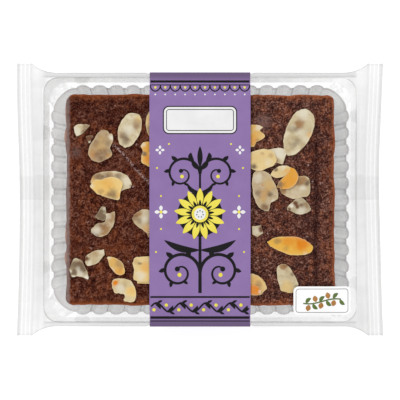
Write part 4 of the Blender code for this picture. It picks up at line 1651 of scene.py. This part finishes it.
def flower(px, py, petals, inner_radius, outer_radius, width, ink, lift=1.0):
    """A ring of petals round a centre."""
    for number in range(petals):
        turn = 2 * np.pi * number / petals
        way = np.array([np.sin(turn), -np.cos(turn)])
        centre = np.array([px, py])
        ink.leaf(centre + inner_radius * way, centre + outer_radius * way, width, lift=lift)


FLOWER_AT = (200, 214)
black.strip([(200, level) for level in np.linspace(293, 156, 30)], np.linspace(1.7, 0.9, 30))
for way in (-1, 1):
    scroll(way, 20.5, 272, 20.5, 1.35, 1.7, 11.0)
    scroll(way, 18.0, 174, 18.0, 1.30, 1.4, 9.5)
    black.leaf((200, 250), (200 + way * 36, 240), 3.4, way * 0.10)
    black.leaf((200, 192), (200 + way * 13, 183), 2.0, way * 0.2)
    black.leaf((200, 170), (200 + way * 7, 157), 1.8, way * 0.2)
    flower(200 + way * 39, 212, 4, 1.2, 6.6, 1.8, white)
    yellow.dot(200 + way * 39, 212, 1.6, lift=2.0)
    flower(200 + way * 40, 150, 4, 0.9, 4.6, 1.3, white)
    for px, py in ((39, 196), (39, 229), (31, 144), (43, 168), (44, 252)):
        yellow.dot(200 + way * px, py, 1.0)
black.leaf((200, 168), (200, 146), 2.6)
black.dot(*FLOWER_AT, 22.5)
flower(*FLOWER_AT, 13, 7.0, 26.0, 3.4, yellow, lift=2.0)
flower(*FLOWER_AT, 13, 4.0, 14.5, 1.4, black, lift=3.0)
yellow.dot(*FLOWER_AT, 8.4, lift=4.0)
white.dot(*FLOWER_AT, 5.8, lift=5.0)
for turn in 2 * np.pi * np.arange(7) / 7:
    black.dot(FLOWER_AT[0] + 3.2 * np.sin(turn), FLOWER_AT[1] - 3.2 * np.cos(turn), 0.6, lift=6.0)

# %% The plaque and the two borders
PLAQUE_AT = (200, 120)
PLAQUE_HALF = (36.0, 13.0)
for grow, ink, lift in ((1.1, black, 1.0), (0.0, white, 2.0), (-2.2, black, 3.0), (-2.9, white, 4.0)):
    ink.plate(*PLAQUE_AT, PLAQUE_HALF[0] + grow, PLAQUE_HALF[1] + grow, 5.0 + grow, lift)

BAND_PIXELS = (150.3, 249.7)
TOP_RAILS = ((81.0, 1.2), (84.6, 0.45))
FOOT_RAILS = ((297.0, 0.9), (318.0, 1.3), (321.6, 0.5))
SCALLOP_RADIUS = 4.97
for level, half in (*TOP_RAILS, *FOOT_RAILS):
    black.strip([(px, level) for px in np.linspace(*BAND_PIXELS, 20)], half)
for place in np.arange(BAND_PIXELS[0] + SCALLOP_RADIUS, BAND_PIXELS[1], 2 * SCALLOP_RADIUS):
    turn = np.linspace(0, np.pi, 14)
    black.strip(np.stack([place + SCALLOP_RADIUS * np.cos(turn), 85 + 6 * np.sin(turn)], axis=-1), 0.6)
    yellow.dot(place, 87.2, 1.2)
    white.dot(place, 94.4, 0.8)

VINE_LEVEL, VINE_SWING, VINE_WAVE = 307.5, 4.6, 24.85
vine_x = np.linspace(BAND_PIXELS[0] + 0.8, BAND_PIXELS[1] - 0.8, 120)
vine_turn = 2 * np.pi * (vine_x - BAND_PIXELS[0]) / VINE_WAVE
black.strip(np.stack([vine_x, VINE_LEVEL - VINE_SWING * np.sin(vine_turn)], axis=-1), 0.85)
for number, place in enumerate(np.arange(BAND_PIXELS[0] + VINE_WAVE / 4, BAND_PIXELS[1], VINE_WAVE / 2)):
    side = 1 if number % 2 else -1
    foot = np.array([place - 2.5, VINE_LEVEL + side * VINE_SWING])
    black.leaf(foot, foot + np.array([6.5, -side * 6.5]), 1.7, 0.15 * side)
    black.leaf(foot + (3.0, 0.0), foot + np.array([8.5, side * 2.5]), 1.2)
    yellow.dot(place - 2.6, VINE_LEVEL - side * 2.4, 1.7, lift=2.0)

for ink in (black, yellow, white):
    ink.finish()

# %% [markdown]
# ## The label
#
# A small white sticker lies on the film near one corner. It is a plate with round corners that follows
# the film under it. Its print is a thin frame round a sprig with almonds, in muted colours.

# %% The label
LABEL_GAP = 0.0004
LABEL_THICKNESS = 0.0003
LABEL_CORNER = 0.0028
LABEL_COLUMNS = 41
LABEL_WHITE = ((0.93, 0.93, 0.94, 1), (0.97, 0.97, 0.97, 1))
label_middle = (np.array(label_low[:2]) + np.array(label_high[:2])) / 2
label_half = (np.array(label_high[:2]) - np.array(label_low[:2])) / 2


def label_grid():
    """x and y over a rectangle with round corners."""
    turn = np.linspace(0, np.pi / 2, 7)
    rounded = label_half[1] - LABEL_CORNER * (1 - np.sin(turn))
    flat = np.linspace(0, label_half[1] - LABEL_CORNER, 6)[:-1]
    half_rows = np.concatenate([flat, rounded])
    rows = np.concatenate([-half_rows[:0:-1], half_rows])
    into = np.clip(np.abs(rows) - (label_half[1] - LABEL_CORNER), 0, LABEL_CORNER)
    reach = label_half[0] - LABEL_CORNER + np.sqrt(LABEL_CORNER**2 - into**2)
    x = label_middle[0] + np.linspace(-1, 1, LABEL_COLUMNS)[None, :] * reach[:, None]
    return x.T, (label_middle[1] + rows[:, None] + 0 * x).T


def label_height(x, y):
    """The label's upper side."""
    return top_height(x, y) + LABEL_GAP + LABEL_THICKNESS


x, y = label_grid()
face = label_height(x, y)
label = mesh_piece("paper_label", *closed_sheet(placed(x, y, face - LABEL_THICKNESS), placed(x, y, face)))
label.data.set_sharp_from_angle(angle=np.radians(40))
label.data.materials.append(coated_paper("white paper", *LABEL_WHITE))
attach(label, "root")
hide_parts("corner_label")

# %% The label's print
LABEL_FACE = float(label_height(*label_middle))
label_print = {"height": label_height, "level": LABEL_FACE, "slot": "label_paper", "columns": 17}
grey = Ink("grey_ink", screen_colour(150, 148, 146), screen_colour(165, 163, 160), **label_print)
paper = Ink("label_paper_ink", *LABEL_WHITE, **label_print)
olive = Ink("olive_ink", screen_colour(96, 116, 62), screen_colour(112, 132, 74), **label_print)
brown = Ink("brown_ink", screen_colour(176, 122, 66), screen_colour(196, 144, 84), **label_print)
middle_x, middle_y = to_pixel(*label_middle, LABEL_FACE)
half_x, half_y = label_half * FOCAL_PIXELS / (CAMERA_HEIGHT - LABEL_FACE)
grey.plate(middle_x, middle_y, half_x - 2.2, half_y - 2.2, 3.2, lift=1.0)
paper.plate(middle_x, middle_y, half_x - 2.9, half_y - 2.9, 2.5, lift=2.0)
t = np.linspace(-1, 1, 40)
sprig = np.stack([middle_x + 19 * t, middle_y + 0.5 - 2.5 * np.sin(2.2 * t)], axis=-1)
olive.strip(sprig, 0.7, lift=3.0)
for number, k in enumerate((3, 10, 17, 24, 31, 38)):
    side = 1 if number % 2 else -1
    olive.leaf(sprig[k], sprig[k] + np.array([5.0, side * 5.6]), 1.9, 0.15 * side, lift=3.0)
for k, side in ((6, 1), (19, 1), (32, 1), (13, -1), (26, -1)):
    foot = sprig[k] + np.array([0.0, side * 1.0])
    brown.leaf(foot, foot + np.array([-1.5, side * 6.4]), 2.5, lift=4.0)
for ink in (grey, paper, olive, brown):
    ink.finish()
